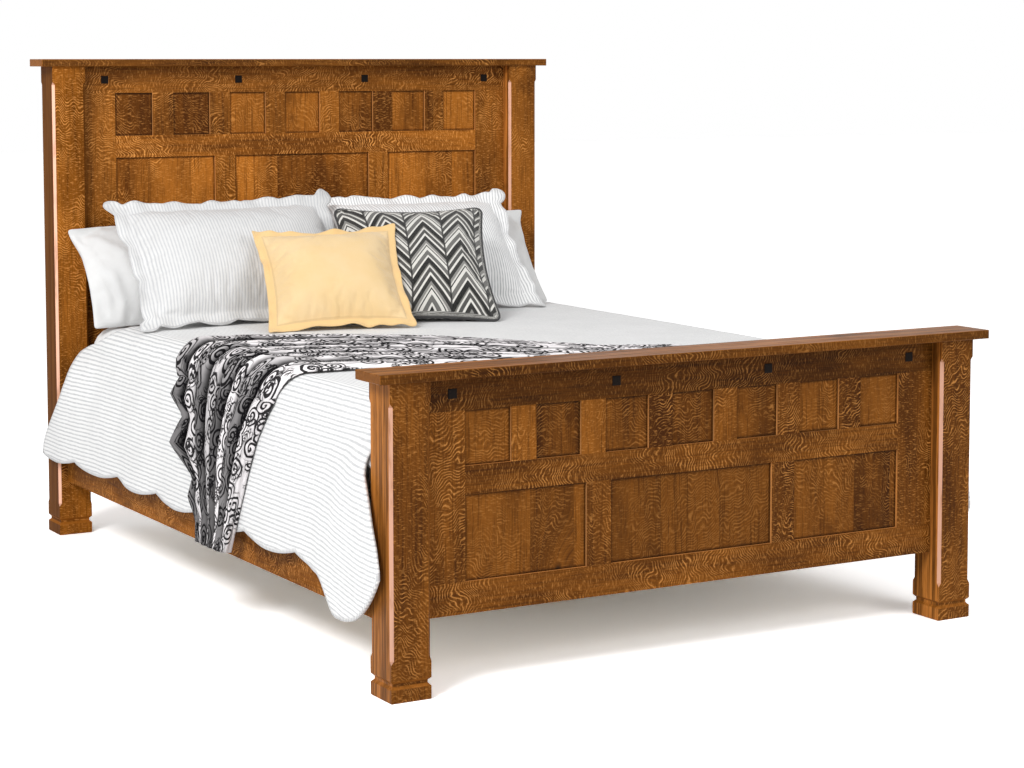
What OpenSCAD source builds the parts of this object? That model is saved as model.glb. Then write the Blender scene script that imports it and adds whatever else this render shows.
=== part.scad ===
// Queen bed with a tall panelled headboard, a low panelled footboard and made-up bedding.
// Millimetres. +X is the right side seen from the foot, +Y runs to the head, +Z is up.
// The origin is on the floor, in the middle of the whole bed.

/* [Posts] */
// Side of the square corner posts
post_w = 101.6; // [90:0.2:115]
// Height of the headboard posts, under the cap
head_post_h = 1410.5; // [1350:0.5:1500]
// Height of the footboard posts, under the cap
foot_post_h = 720.6; // [700:0.2:780]
// Width that the worn chamfers take off each post face
post_chamfer = 7; // [3:0.5:9]
// Square length left above the chamfers, under the cap
chamfer_top_gap = 46; // [30:1:70]
// Height of the chamfers' lower ends above the floor
chamfer_foot_gap = 88; // [75:1:110]
// Length of the sloped stop at each chamfer end
chamfer_stop = 9; // [6:1:20]
// Height of the middle of the groove round each foot
groove_z = 41; // [36:1:50]
// Depth of the groove round each foot
groove_depth = 6.4; // [4:0.2:8]
// Width of the groove's flat bottom
groove_flat = 6.4; // [4:0.2:9]
// Bevel under each foot
foot_ease = 2; // [1:0.5:4]

/* [Caps] */
// Thickness of the board caps
cap_t = 22; // [18:0.5:28]
// Overhang of the caps past the posts at each end
cap_end = 34.6; // [25:0.2:45]
// Overhang of the footboard's cap past the front of its posts
foot_cap_front = 22; // [15:0.5:30]
// Overhang of the headboard's cap past the front of its posts
head_cap_front = 11; // [5:0.5:20]
// Eased edge round the caps
cap_ease = 1.5; // [0.5:0.5:3]
// Diameter of the dowels between caps and posts
dowel_d = 10; // [8:1:12]
// Dowel length in the cap
dowel_up = 12; // [8:1:14]
// Dowel length in the post
dowel_down = 38; // [25:1:45]
// Distance between the two dowels of a post
dowel_pitch = 50; // [40:1:56]

/* [Panelled boards] */
// Set-back of a board's face from the front of its posts
board_setback = 38; // [30:1:44]
// Thickness of the rails, stiles and muntins
frame_t = 25.4; // [22:0.2:30]
// Width of the outer stiles
stile_w = 108; // [95:1:120]
// Number of small panels in the upper row
upper_count = 7; // [5:1:9]
// Width of the muntins between panels
muntin_w = 67; // [55:1:75]
// Visible width of the middle panel in the lower row
middle_panel_w = 466; // [400:1:520]
// Thickness of the loose panels and of the tenons
panel_t = 12.7; // [10:0.1:14]
// Depth of the grooves that hold the panels
panel_groove = 9.5; // [7:0.5:12]
// Room left in a groove for a panel to swell
swell_gap = 1.5; // [1:0.5:3]
// Play on each side of a wood joint
joint_play = 0.1; // [0.05:0.05:0.3]
// Length of the rail tenons in the posts
tenon_len = 38; // [30:1:45]
// Shoulder above and below each rail tenon
tenon_shoulder = 12.7; // [11:0.1:16]
// Room behind a tenon's end
tenon_room = 1.6; // [0.8:0.2:3]
// Height of the footboard's bottom edge above the floor
foot_bottom_z = 173; // [150:1:190]
// Height of the footboard's bottom rail
foot_bottom_h = 74.5; // [65:0.5:90]
// Height of the footboard's lower panels
foot_lower_h = 199.5; // [180:0.5:215]
// Height of the middle rail, on both boards
mid_h = 66.3; // [55:0.1:75]
// Height of the top rail, on both boards
top_h = 80.3; // [70:0.1:90]
// Height of the headboard's bottom edge above the floor
head_bottom_z = 340; // [300:5:360]
// Height of the headboard's bottom rail
head_bottom_h = 152; // [120:1:180]
// Height of the headboard's upper panels
head_upper_h = 130; // [115:1:150]
// Side of the square dark pegs in the top rails
peg_w = 23; // [16:0.5:28]
// Depth of the pegs in the rail
peg_depth = 10.5; // [7:0.5:12]
// How far the pegs stand proud
peg_proud = 1.6; // [0.8:0.2:3]
// Bevel on the pegs' heads
peg_bevel = 1; // [0.4:0.2:1.6]
// Distance from the posts to the middle of the end pegs
peg_in = 75.7; // [60:0.1:120]
// Number of pegs in a top rail
peg_count = 4; // [2:1:4]

/* [Side rails and slats] */
// Room between the mattress and each board's posts
end_room = 25.5; // [20:0.5:30]
// Room between the mattress and each side rail
side_room = 18.5; // [15:0.5:24]
// Thickness of the side rails
rail_t = 27; // [24:0.5:30]
// Height of the side rails
rail_h = 190.5; // [170:0.5:200]
// Height of the side rails' bottom edge above the floor
rail_z = 162; // [155:1:170]
// Set-back of a side rail from the outer faces of its posts
rail_setback = 26.8; // [22:0.2:30]
// Width of the cleats that carry the slats
cleat_w = 25.4; // [20:0.2:30]
// Height of the cleats
cleat_h = 38; // [32:1:42]
// Height of the cleats above the rails' bottom edge
cleat_up = 3; // [0:1:8]
// Distance from a cleat's end to the post
cleat_end = 40; // [20:1:60]
// Number of screws in a cleat
cleat_screw_count = 6; // [3:1:8]
// Width of a slat
slat_w = 89; // [70:1:110]
// Thickness of a slat
slat_t = 19; // [16:0.5:22]
// Gap between a slat's end and the side rail
slat_gap = 1.5; // [1:0.5:4]
// Distance from the posts to the middle of the end slats
slat_end = 150; // [110:1:200]
// Side of the square centre legs
leg_w = 38; // [32:1:50]

/* [Fastenings] */
// Height of the steel rail plates
plate_h = 127; // [120:1:140]
// Width of the steel rail plates
plate_w = 16; // [15:0.5:20]
// Thickness of the steel rail plates
plate_t = 2.5; // [2:0.1:3]
// Thickness of the hooks across the rail
hook_t = 4; // [3:0.5:5]
// Height of a hook's neck
hook_neck = 18; // [14:1:20]
// How far a hook drops behind the post plate
hook_drop = 9; // [6:1:10]
// How far a hook reaches past the post plate
hook_reach = 6; // [5:0.5:8]
// Play between a hook and its slot
hook_play = 0.6; // [0.4:0.1:1]
// Height of the slots' middles above and below the plate's middle
slot_spread = 28; // [27:0.5:29]
// Height of the plate screws above and below the plate's middle
plate_screw_spread = 53.5; // [52:0.5:56]
// Shank diameter of the wood screws
screw_d = 4.5; // [4:0.1:5]
// Head diameter of the wood screws
screw_head = 8.6; // [8:0.1:9]
// Length of the plate and slat screws
screw_len = 36; // [30:1:40]
// Length of the cleat screws
cleat_screw_len = 44; // [36:1:48]
// Play round every screw
screw_play = 0.15; // [0.1:0.05:0.3]

/* [Mattress set] */
// Width of the mattress and its foundation
mattress_w = 1524; // [1500:2:1530]
// Length of the mattress and its foundation
mattress_l = 2032; // [2000:2:2036]
// Height of the foundation
foundation_h = 203; // [180:1:215]
// Corner radius of the foundation, seen from above
foundation_r = 60; // [40:1:80]
// Height of the mattress at its edges
mattress_h = 210; // [190:1:225]
// Corner radius of the mattress, seen from above
mattress_r = 115; // [80:1:130]
// Radius of the mattress's upper edge
mattress_edge = 64; // [62:1:70]
// Radius of the mattress's lower edge
mattress_low_edge = 16; // [8:1:24]
// Rise of the mattress's crown
mattress_crown = 4; // [2:0.5:4.5]
// Distance from the mattress's sides to the flat of its crown
crown_inset = 300; // [200:10:400]
// Thickness of the fitted sheet
sheet_t = 1.2; // [0.8:0.1:2]
// Clearance between soft pieces that lie on each other
soft_gap = 0.4; // [0.35:0.05:0.6]

/* [Quilt] */
// Radius that the quilt takes over the mattress's edge
quilt_edge = 60; // [56:1:66]
// Thickness of the quilt on the bed's top
quilt_top_t = 18; // [12:1:22]
// Thickness of the quilt where it hangs
quilt_side_t = 11; // [8:1:12]
// Rise of the quilt's crown
quilt_crown = 8; // [7:0.5:10]
// Farthest that the hanging quilt reaches past the mattress's edge
quilt_reach = 84; // [80:1:86]
// How much of its reach is left after each millimetre of drop, along the bed's side
side_slack = 0.0039; // [0.0038:0.0001:0.0045]
// The same beside the posts, where the quilt goes round them
post_slack = 0.014; // [0.013:0.0005:0.016]
// Height of the soft waves along the hanging side
side_wave = 5; // [2:1:6]
// Mean height of the hem above the floor
hem_z = 235; // [220:1:260]
// Half height of the scallops along the hem
scallop_h = 20; // [8:1:25]
// Length of one scallop
scallop_l = 300; // [240:10:360]
// Height of the corner tips above the floor
tip_z = 152; // [130:1:180]
// Distance of the corner tips behind the front of the footboard posts
tip_v = 230; // [210:1:240]
// Distance of the foremost edge behind the front of the footboard posts
ear_v = 25; // [15:1:40]
// Height of the foremost edge's lower end above the floor
ear_z = 302; // [280:1:320]
// Length tucked down between the mattress and the footboard
foot_tuck = 90; // [60:5:120]
// Distance from the quilt's head end to the front of the headboard posts
head_end_gap = 289.6; // [285:0.2:330]
// The same where the quilt's edge leaves the mattress's side
head_side_gap = 184.6; // [165:0.2:230]
// How far the hem runs past the front of the headboard posts
head_hem_past = 77.4; // [20:0.2:85]

/* [Throw] */
// Height of the throw's hanging end above the floor
throw_z = 190; // [180:1:220]
// Thickness of the throw
throw_t = 5; // [3:0.5:6]
// Height of the throw's folds
fold_h = 13; // [6:1:14]
// Number of folds across the throw
fold_count = 6; // [4:1:6]
// How far the throw's far end lies past the bed's middle
throw_end_x = 300; // [200:10:400]

/* [Pillows] */
// Half thickness of a pillow at its seam
seam_t = 2.5; // [1.5:0.5:4]
// Part by which a pillow's sides are drawn in between its corners
draw_in = 0.05; // [0.02:0.01:0.08]
// Width of the white sleeping pillows
white_w = 660; // [620:5:680]
// Height of the white sleeping pillows, as they sit squeezed
white_h = 356; // [340:2:362]
// Loft of each side of the white sleeping pillows
white_loft = 62; // [50:1:66]
// Angle by which the white pillows lean back
white_lean = 34; // [30:0.5:35]
// How far the white pillows reach past the mattress's sides
white_past = 18; // [-20:1:20]
// Distance from the headboard to the white pillows' bottom edge
white_foot = 212; // [205:1:220]
// Reach of the empty corner of the left white pillow's case
case_corner = 52; // [30:1:60]
// Width of the striped shams
sham_w = 715; // [680:5:730]
// Height of the striped shams
sham_h = 482; // [460:2:490]
// Loft of each side of the striped shams
sham_loft = 92; // [70:1:96]
// Width of the shams' flanges
sham_flange = 45; // [35:1:52]
// Middle of the left sham to the left of the bed's middle
sham_left_x = 373; // [365:1:400]
// Distance from the headboard to the left sham's bottom edge
sham_left_foot = 501.5; // [498:0.5:520]
// Angle by which the left sham leans back
sham_left_lean = 42.9; // [42:0.1:44]
// Middle of the right sham to the right of the bed's middle
sham_right_x = 245; // [240:1:280]
// Distance from the headboard to the right sham's bottom edge
sham_right_foot = 452.5; // [445:0.5:455]
// Angle by which the right sham leans back
sham_right_lean = 44.5; // [43:0.1:45]
// Side of the square chevron pillow
chevron_w = 460; // [440:2:468]
// Loft of the chevron pillow's front
chevron_front = 76; // [60:1:80]
// Loft of the chevron pillow's back
chevron_back = 92; // [70:1:96]
// Middle of the chevron pillow to the right of the bed's middle
chevron_x = 40; // [30:1:60]
// Distance from the headboard to the chevron pillow's bottom edge
chevron_foot = 741.5; // [740:0.5:760]
// Angle by which the chevron pillow leans back
chevron_lean = 46.5; // [46:0.1:48]
// Width of the yellow pillow
yellow_w = 434; // [410:2:440]
// Height of the yellow pillow
yellow_h = 401; // [380:2:410]
// Loft of the yellow pillow's front
yellow_front = 76; // [60:1:80]
// Loft of the yellow pillow's back
yellow_back = 78; // [60:1:80]
// Width of the yellow pillow's flange
yellow_flange = 28; // [18:1:32]
// Middle of the yellow pillow to the left of the bed's middle
yellow_x = 245; // [240:1:260]
// Distance from the headboard to the yellow pillow's bottom edge
yellow_foot = 787.5; // [780:0.5:800]
// Angle by which the yellow pillow leans back
yellow_lean = 46.8; // [46:0.1:48]
// Place where the small pillows press on each other, to the left of the chevron pillow's middle
press_side = 133; // [125:1:140]
// The same, in front of the chevron pillow's back seam
press_front = 42; // [38:1:46]
// Gap between the two small pillows where they press on each other
pillow_gap = 4.6; // [4:0.2:6]

/* [Hidden] */

$fn = 48;

oak = [0.52, 0.29, 0.12];
oak_dark = [0.42, 0.22, 0.09];
oak_light = [0.60, 0.35, 0.15];
peg_black = [0.06, 0.05, 0.05];
plain_wood = [0.80, 0.66, 0.45];
steel = [0.62, 0.62, 0.60];
white_cloth = [0.95, 0.95, 0.95];
stripe_cloth = [0.86, 0.87, 0.89];
ticking = [0.90, 0.90, 0.86];
throw_grey = [0.48, 0.45, 0.47];
chevron_grey = [0.36, 0.36, 0.36];
yellow_cloth = [0.96, 0.84, 0.55];

// Plan of the frame, built round the mattress
rail_len = mattress_l + 2 * end_room;
half_out = mattress_w / 2 + side_room + rail_t + rail_setback;
half_in = half_out - post_w;
post_x = half_out - post_w / 2;
total_l = foot_cap_front + post_w + rail_len + post_w;
foot_face = foot_cap_front - total_l / 2;
foot_back = foot_face + post_w;
head_face = foot_back + rail_len;
head_back = head_face + post_w;
stile_in = half_in - stile_w;
upper_w = (2 * stile_in - (upper_count - 1) * muntin_w) / upper_count;
lower_in = middle_panel_w / 2;

// A board is the place of its face, then the heights of its rails' edges from the bottom up
FACE = 0;
BOTTOM = 1;
LOWER0 = 2;
LOWER1 = 3;
UPPER0 = 4;
UPPER1 = 5;
TOP = 6;
foot_lower_z = foot_bottom_z + foot_bottom_h;
foot_board = [foot_face + board_setback, foot_bottom_z, foot_lower_z, foot_lower_z + foot_lower_h,
              foot_lower_z + foot_lower_h + mid_h, foot_post_h - top_h, foot_post_h];
head_upper_z = head_post_h - top_h - head_upper_h;
head_board = [head_face + board_setback, head_bottom_z, head_bottom_z + head_bottom_h,
              head_upper_z - mid_h, head_upper_z, head_post_h - top_h, head_post_h];

// Side rails and slats
rail_out = half_out - rail_setback;
rail_in = rail_out - rail_t;
rail_mid_x = (rail_out + rail_in) / 2;
rail_mid_z = rail_z + rail_h / 2;
cleat_in = rail_in - cleat_w;
cleat_z = rail_z + cleat_up;
slat_z = cleat_z + cleat_h;
slat_top = slat_z + slat_t;
slat_count = 5;
slat_step = (rail_len - 2 * slat_end) / (slat_count - 1);
function slat_y(k) = foot_back + slat_end + (k - 1) * slat_step;
leg_screw_x = leg_w / 4;

// Mattress set
half_m = mattress_w / 2;
half_l = mattress_l / 2;
bed_y = (foot_back + head_face) / 2;
mattress_z = slat_top + foundation_h;
mattress_top = mattress_z + mattress_h;

function smooth(t) = let (c = min(1, max(0, t))) c * c * (3 - 2 * c);
function mix(a, b, t) = a + (b - a) * t;
function unit(v) = v / norm(v);

module span(a, b) {
    translate(a) cube(b - a);
}

// A board between two corners, with all its edges eased
module eased(a, b, e) {
    function outline(w, h) = [[e, 0], [w - e, 0], [w, e], [w, h - e],
                              [w - e, h], [e, h], [0, h - e], [0, e]];
    s = b - a;
    translate(a) intersection() {
        linear_extrude(s[2]) polygon(outline(s[0], s[1]));
        translate([0, s[1], 0]) rotate([90, 0, 0]) linear_extrude(s[1]) polygon(outline(s[0], s[2]));
        rotate([90, 0, 90]) linear_extrude(s[0]) polygon(outline(s[1], s[2]));
    }
}

// Countersunk screw with its head's face at the origin and its shank down; play turns it into its hole
module screw(length, play = 0) {
    r = screw_d / 2 + play;
    h = screw_head / 2 + play;
    rotate_extrude() polygon([[0, play], [h, play], [h, -0.6], [r, -0.6 - h + r],
                              [r, 3 - length], [0, -length - play]]);
}

// Posts
module post_blank(h) {
    corner = post_w / sqrt(2);
    cut = corner - post_chamfer / sqrt(2);
    low = chamfer_foot_gap;
    high = h - chamfer_top_gap;
    past = chamfer_stop / (corner - cut);
    mouth = groove_flat / 2 + groove_depth + 1;
    difference() {
        translate([-post_w / 2, -post_w / 2, 0]) cube([post_w, post_w, h]);
        for (a = [45 : 90 : 315]) rotate([90, 0, a])
            linear_extrude(4 * post_chamfer, center = true)
                polygon([[corner + 1, low - past], [cut, low + chamfer_stop],
                         [cut, high - chamfer_stop], [corner + 1, high + past]]);
        for (a = [0 : 90 : 270]) rotate([90, 0, a]) linear_extrude(post_w + 2, center = true) {
            polygon([[post_w / 2 + 1, groove_z - mouth], [post_w / 2 - groove_depth, groove_z - groove_flat / 2],
                     [post_w / 2 - groove_depth, groove_z + groove_flat / 2], [post_w / 2 + 1, groove_z + mouth]]);
            polygon([[post_w / 2 + 1, -1], [post_w / 2 + 1, foot_ease + 1], [post_w / 2 - foot_ease - 1, -1]]);
        }
    }
}

// Part of the middle layer of a board, where its panels, tenons and grooves are
module layer(x0, z0, x1, z1, play = 0) {
    y = (frame_t - panel_t) / 2;
    span([x0, y - play, z0], [x1, y + panel_t + play, z1]);
}

// Places its children at a joint of a side rail and a post, with +Y into the post
module at_joint(right, head) {
    mirror([right ? 0 : 1, 0, 0])
        translate([rail_mid_x, head ? head_face : foot_back, rail_mid_z])
            mirror([0, head ? 0 : 1, 0]) children();
}

module at_joints() {
    for (right = [false, true], head = [false, true]) at_joint(right, head) children();
}

// The right-hand post of a board
module post(h, board, head) {
    y = (head ? head_face : foot_face) + post_w / 2;
    difference() {
        translate([post_x, y, 0]) post_blank(h);
        translate([0, board[FACE], 0]) {
            for (z = [[board[BOTTOM], board[LOWER0]], [board[UPPER1], board[TOP]]])
                layer(half_in - 1, z[0] + tenon_shoulder - joint_play, half_in + tenon_len + tenon_room,
                      z[1] - tenon_shoulder + joint_play, joint_play);
            layer(half_in - 1, board[LOWER0], half_in + panel_groove, board[UPPER1], joint_play);
        }
        for (side = [-1, 1]) translate([post_x, y + side * dowel_pitch / 2, h - dowel_down])
            cylinder(d = dowel_d, h = dowel_down + 1);
        at_joint(true, head) post_cuts();
    }
}

module head_post() {
    post(head_post_h, head_board, true);
}

module foot_post() {
    post(foot_post_h, foot_board, false);
}

module head_post_left() {
    color(oak) mirror([1, 0, 0]) head_post();
}

module head_post_right() {
    color(oak) head_post();
}

module foot_post_left() {
    color(oak) mirror([1, 0, 0]) foot_post();
}

module foot_post_right() {
    color(oak) foot_post();
}

// Caps and their dowels
module at_dowels(head) {
    y = (head ? head_face : foot_face) + post_w / 2;
    for (x = [-post_x, post_x], side = [-1, 1])
        translate([x, y + side * dowel_pitch / 2, head ? head_post_h : foot_post_h]) children();
}

module cap(y0, y1, z, head) {
    end = half_out + cap_end;
    color(oak) difference() {
        eased([-end, y0, z], [end, y1, z + cap_t], cap_ease);
        at_dowels(head) translate([0, 0, -1]) cylinder(d = dowel_d, h = dowel_up + 1);
    }
}

module head_cap() {
    cap(head_face - head_cap_front, head_back, head_post_h, true);
}

module foot_cap() {
    cap(foot_face - foot_cap_front, foot_back, foot_post_h, false);
}

module cap_dowels() {
    color(plain_wood) for (head = [false, true]) at_dowels(head)
        translate([0, 0, -dowel_down]) cylinder(d = dowel_d, h = dowel_down + dowel_up);
}

// Rails of the boards
module at_pegs(board) {
    peg_x = half_in - peg_in;
    for (k = [0 : peg_count - 1])
        translate([mix(-peg_x, peg_x, k / (peg_count - 1)), board[FACE], (board[UPPER1] + board[TOP]) / 2])
            children();
}

module top_rail(board) {
    z0 = board[UPPER1];
    z1 = board[TOP];
    end = half_in + tenon_len;
    color(oak_light) difference() {
        translate([0, board[FACE], 0]) difference() {
            union() {
                span([-half_in, 0, z0], [half_in, frame_t, z1]);
                layer(-end, z0 + tenon_shoulder, end, z1 - tenon_shoulder);
            }
            layer(-half_in - 1, z0 - 1, half_in + 1, z0 + panel_groove, joint_play);
        }
        at_pegs(board) translate([-peg_w / 2, -1, -peg_w / 2]) cube([peg_w, peg_depth + 1, peg_w]);
    }
}

module bottom_rail(board) {
    z0 = board[BOTTOM];
    z1 = board[LOWER0];
    end = half_in + tenon_len;
    color(oak_light) translate([0, board[FACE], 0]) difference() {
        union() {
            span([-half_in, 0, z0], [half_in, frame_t, z1]);
            layer(-end, z0 + tenon_shoulder, end, z1 - tenon_shoulder);
        }
        layer(-half_in - 1, z1 - panel_groove, half_in + 1, z1 + 1, joint_play);
    }
}

module mid_rail(board) {
    z0 = board[LOWER1];
    z1 = board[UPPER0];
    end = stile_in + panel_groove - joint_play;
    color(oak_light) translate([0, board[FACE], 0]) difference() {
        union() {
            span([-stile_in, 0, z0], [stile_in, frame_t, z1]);
            layer(-end, z0 + panel_groove, end, z1 - panel_groove);
        }
        layer(-end - 1, z0 - 1, end + 1, z0 + panel_groove, joint_play);
        layer(-end - 1, z1 - panel_groove, end + 1, z1 + 1, joint_play);
    }
}

// Outer stile on the right, with a tongue in the post and stub tenons in the rails
module stile(board) {
    stub = panel_groove - joint_play;
    z0 = board[LOWER0];
    z1 = board[UPPER1];
    color(oak) translate([0, board[FACE], 0]) difference() {
        union() {
            span([stile_in, 0, z0], [half_in, frame_t, z1]);
            layer(stile_in, z0 - stub, half_in, z1 + stub);
            layer(stile_in, z0, half_in + stub, z1);
        }
        layer(stile_in - 1, z0 - stub - 1, stile_in + panel_groove, z1 + stub + 1, joint_play);
    }
}

// Muntin between two rails, with stub tenons in them and grooves for the panels
module muntin(x, z0, z1) {
    half = muntin_w / 2;
    stub = panel_groove - joint_play;
    difference() {
        union() {
            span([x - half, 0, z0], [x + half, frame_t, z1]);
            layer(x - half, z0 - stub, x + half, z1 + stub);
        }
        layer(x - half - 1, z0 - stub - 1, x - half + panel_groove, z1 + stub + 1, joint_play);
        layer(x + half - panel_groove, z0 - stub - 1, x + half + 1, z1 + stub + 1, joint_play);
    }
}

module upper_muntins(board) {
    color(oak) translate([0, board[FACE], 0]) for (k = [1 : upper_count - 1])
        muntin(k * (upper_w + muntin_w) - stile_in - muntin_w / 2, board[UPPER0], board[UPPER1]);
}

module lower_muntins(board) {
    color(oak) translate([0, board[FACE], 0]) for (side = [-1, 1])
        muntin(side * (lower_in + muntin_w / 2), board[LOWER0], board[LOWER1]);
}

// Loose panel that stands on the bottom of its lower groove
module panel(board, x0, x1, z0, z1) {
    slack = panel_groove - swell_gap;
    translate([0, board[FACE], 0]) layer(x0 - slack, z0 - panel_groove, x1 + slack, z1 + slack);
}

module upper_panels(board) {
    color(oak_dark) for (k = [0 : upper_count - 1])
        let (x = k * (upper_w + muntin_w) - stile_in)
            panel(board, x, x + upper_w, board[UPPER0], board[UPPER1]);
}

module lower_panel(board, x0, x1) {
    color(oak_dark) panel(board, x0, x1, board[LOWER0], board[LOWER1]);
}

// Square pegs with bevelled heads
module pegs(board) {
    depth = peg_depth + peg_proud;
    outline = [[peg_bevel, 0], [peg_w - peg_bevel, 0], [peg_w, peg_bevel],
               [peg_w, depth], [0, depth], [0, peg_bevel]];
    color(peg_black) at_pegs(board) translate([-peg_w / 2, -peg_proud, -peg_w / 2]) intersection() {
        linear_extrude(peg_w) polygon(outline);
        translate([peg_w, 0, 0]) rotate([0, -90, 0]) linear_extrude(peg_w) polygon(outline);
    }
}

module head_top_rail() {
    top_rail(head_board);
}

module head_mid_rail() {
    mid_rail(head_board);
}

module head_bottom_rail() {
    bottom_rail(head_board);
}

module head_stile_left() {
    mirror([1, 0, 0]) stile(head_board);
}

module head_stile_right() {
    stile(head_board);
}

module head_upper_muntins() {
    upper_muntins(head_board);
}

module head_lower_muntins() {
    lower_muntins(head_board);
}

module head_upper_panels() {
    upper_panels(head_board);
}

module head_lower_panel_left() {
    lower_panel(head_board, -stile_in, -lower_in - muntin_w);
}

module head_lower_panel_middle() {
    lower_panel(head_board, -lower_in, lower_in);
}

module head_lower_panel_right() {
    lower_panel(head_board, lower_in + muntin_w, stile_in);
}

module head_pegs() {
    pegs(head_board);
}

module foot_top_rail() {
    top_rail(foot_board);
}

module foot_mid_rail() {
    mid_rail(foot_board);
}

module foot_bottom_rail() {
    bottom_rail(foot_board);
}

module foot_stile_left() {
    mirror([1, 0, 0]) stile(foot_board);
}

module foot_stile_right() {
    stile(foot_board);
}

module foot_upper_muntins() {
    upper_muntins(foot_board);
}

module foot_lower_muntins() {
    lower_muntins(foot_board);
}

module foot_upper_panels() {
    upper_panels(foot_board);
}

module foot_lower_panel_left() {
    lower_panel(foot_board, -stile_in, -lower_in - muntin_w);
}

module foot_lower_panel_middle() {
    lower_panel(foot_board, -lower_in, lower_in);
}

module foot_lower_panel_right() {
    lower_panel(foot_board, lower_in + muntin_w, stile_in);
}

module foot_pegs() {
    pegs(foot_board);
}

// Hooks and plates, in the frame of at_joint
slot_h = hook_neck + hook_drop + 2 * hook_play;
neck_drop = (slot_h - hook_neck) / 2;

module plate_blank(y0, y1, play = 0) {
    span([-plate_w / 2 - play, y0, -plate_h / 2 - play], [plate_w / 2 + play, y1, plate_h / 2 + play]);
}

module post_plate_screws(play = 0) {
    for (z = [-plate_screw_spread, plate_screw_spread])
        translate([0, 0, z]) rotate([90, 0, 0]) screw(screw_len, play);
}

module rail_plate_screws(play = 0) {
    for (z = [-plate_screw_spread, plate_screw_spread])
        translate([0, 0, z]) rotate([-90, 0, 0]) screw(screw_len, play);
}

// What is cut from a post for its plate, its screws and the hooks
module post_cuts() {
    half = hook_t / 2 + 2;
    reach = plate_t + hook_reach + 1.5;
    plate_blank(-1, plate_t, joint_play);
    for (z = [-slot_spread, slot_spread])
        span([-half, 0, z - slot_h / 2 - hook_drop - 1.5], [half, reach, z + slot_h / 2 + 1.5]);
    post_plate_screws(screw_play);
}

module rail_hook_plates() {
    color(steel) at_joints() difference() {
        union() {
            plate_blank(-plate_t, 0);
            for (z = [-slot_spread, slot_spread]) translate([-hook_t / 2, 0, z - neck_drop])
                rotate([90, 0, 90]) linear_extrude(hook_t)
                    polygon([[-plate_t / 2, hook_neck / 2], [plate_t + hook_reach, hook_neck / 2],
                             [plate_t + hook_reach, -hook_neck / 2 - hook_drop],
                             [plate_t + hook_play, -hook_neck / 2 - hook_drop],
                             [plate_t + hook_play, -hook_neck / 2], [-plate_t / 2, -hook_neck / 2]]);
        }
        rail_plate_screws(screw_play);
    }
}

module post_plates() {
    half = hook_t / 2 + hook_play;
    color(steel) at_joints() difference() {
        plate_blank(0, plate_t);
        for (z = [-slot_spread, slot_spread])
            span([-half, -1, z - slot_h / 2], [half, plate_t + 1, z + slot_h / 2]);
        post_plate_screws(screw_play);
    }
}

module plate_screws() {
    color(steel) at_joints() {
        post_plate_screws();
        rail_plate_screws();
    }
}

// Side rails and the cleats along their inner sides
module at_cleat_screws() {
    first = foot_back + 2 * cleat_end;
    step = (rail_len - 4 * cleat_end) / (cleat_screw_count - 1);
    for (k = [0 : cleat_screw_count - 1])
        translate([cleat_in, first + k * step, cleat_z + cleat_h / 3]) rotate([0, -90, 0]) children();
}

module side_rail() {
    color(oak) difference() {
        eased([rail_in, foot_back, rail_z], [rail_out, head_face, rail_z + rail_h], 2);
        for (head = [false, true]) at_joint(true, head) {
            plate_blank(-plate_t, 1, joint_play);
            rail_plate_screws(screw_play);
        }
        at_cleat_screws() screw(cleat_screw_len, screw_play);
    }
}

module side_rail_left() {
    mirror([1, 0, 0]) side_rail();
}

module side_rail_right() {
    side_rail();
}

// Screws that hold the slats' ends to the right-hand cleat
module at_slat_screws() {
    for (k = [1 : slat_count]) translate([(rail_in + cleat_in) / 2, slat_y(k), slat_top]) children();
}

module cleat() {
    color(plain_wood) difference() {
        span([cleat_in, foot_back + cleat_end, cleat_z], [rail_in, head_face - cleat_end, slat_z]);
        at_cleat_screws() screw(cleat_screw_len, screw_play);
        at_slat_screws() screw(screw_len, screw_play);
    }
}

module cleat_left() {
    mirror([1, 0, 0]) cleat();
}

module cleat_right() {
    cleat();
}

module cleat_screws() {
    color(steel) for (side = [0, 1]) mirror([side, 0, 0]) at_cleat_screws() screw(cleat_screw_len);
}

// Slats and the legs under the three middle ones
module at_leg_screws(k) {
    for (x = [-leg_screw_x, leg_screw_x]) translate([x, slat_y(k), slat_top]) children();
}

module slat(k) {
    end = rail_in - slat_gap;
    color(plain_wood) difference() {
        span([-end, slat_y(k) - slat_w / 2, slat_z], [end, slat_y(k) + slat_w / 2, slat_top]);
        for (side = [0, 1]) mirror([side, 0, 0]) at_slat_screws() screw(screw_len, screw_play);
        if (k > 1 && k < slat_count) at_leg_screws(k) screw(screw_len, screw_play);
    }
}

module centre_leg(k) {
    half = leg_w / 2;
    color(plain_wood) difference() {
        span([-half, slat_y(k) - half, 0], [half, slat_y(k) + half, slat_z]);
        at_leg_screws(k) screw(screw_len, screw_play);
    }
}

module slat_screws() {
    color(steel) {
        for (side = [0, 1]) mirror([side, 0, 0]) at_slat_screws() screw(screw_len);
        for (k = [2 : slat_count - 1]) at_leg_screws(k) screw(screw_len);
    }
}

// Foundation
module foundation() {
    x = half_m - foundation_r;
    y = half_l - foundation_r;
    color(ticking) translate([0, bed_y, slat_top]) {
        translate([-half_m, -y, 0]) cube([mattress_w, 2 * y, foundation_h]);
        translate([-x, -half_l, 0]) cube([2 * x, mattress_l, foundation_h]);
        for (sx = [-x, x], sy = [-y, y]) translate([sx, sy, 0]) cylinder(r = foundation_r, h = foundation_h);
    }
}

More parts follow.
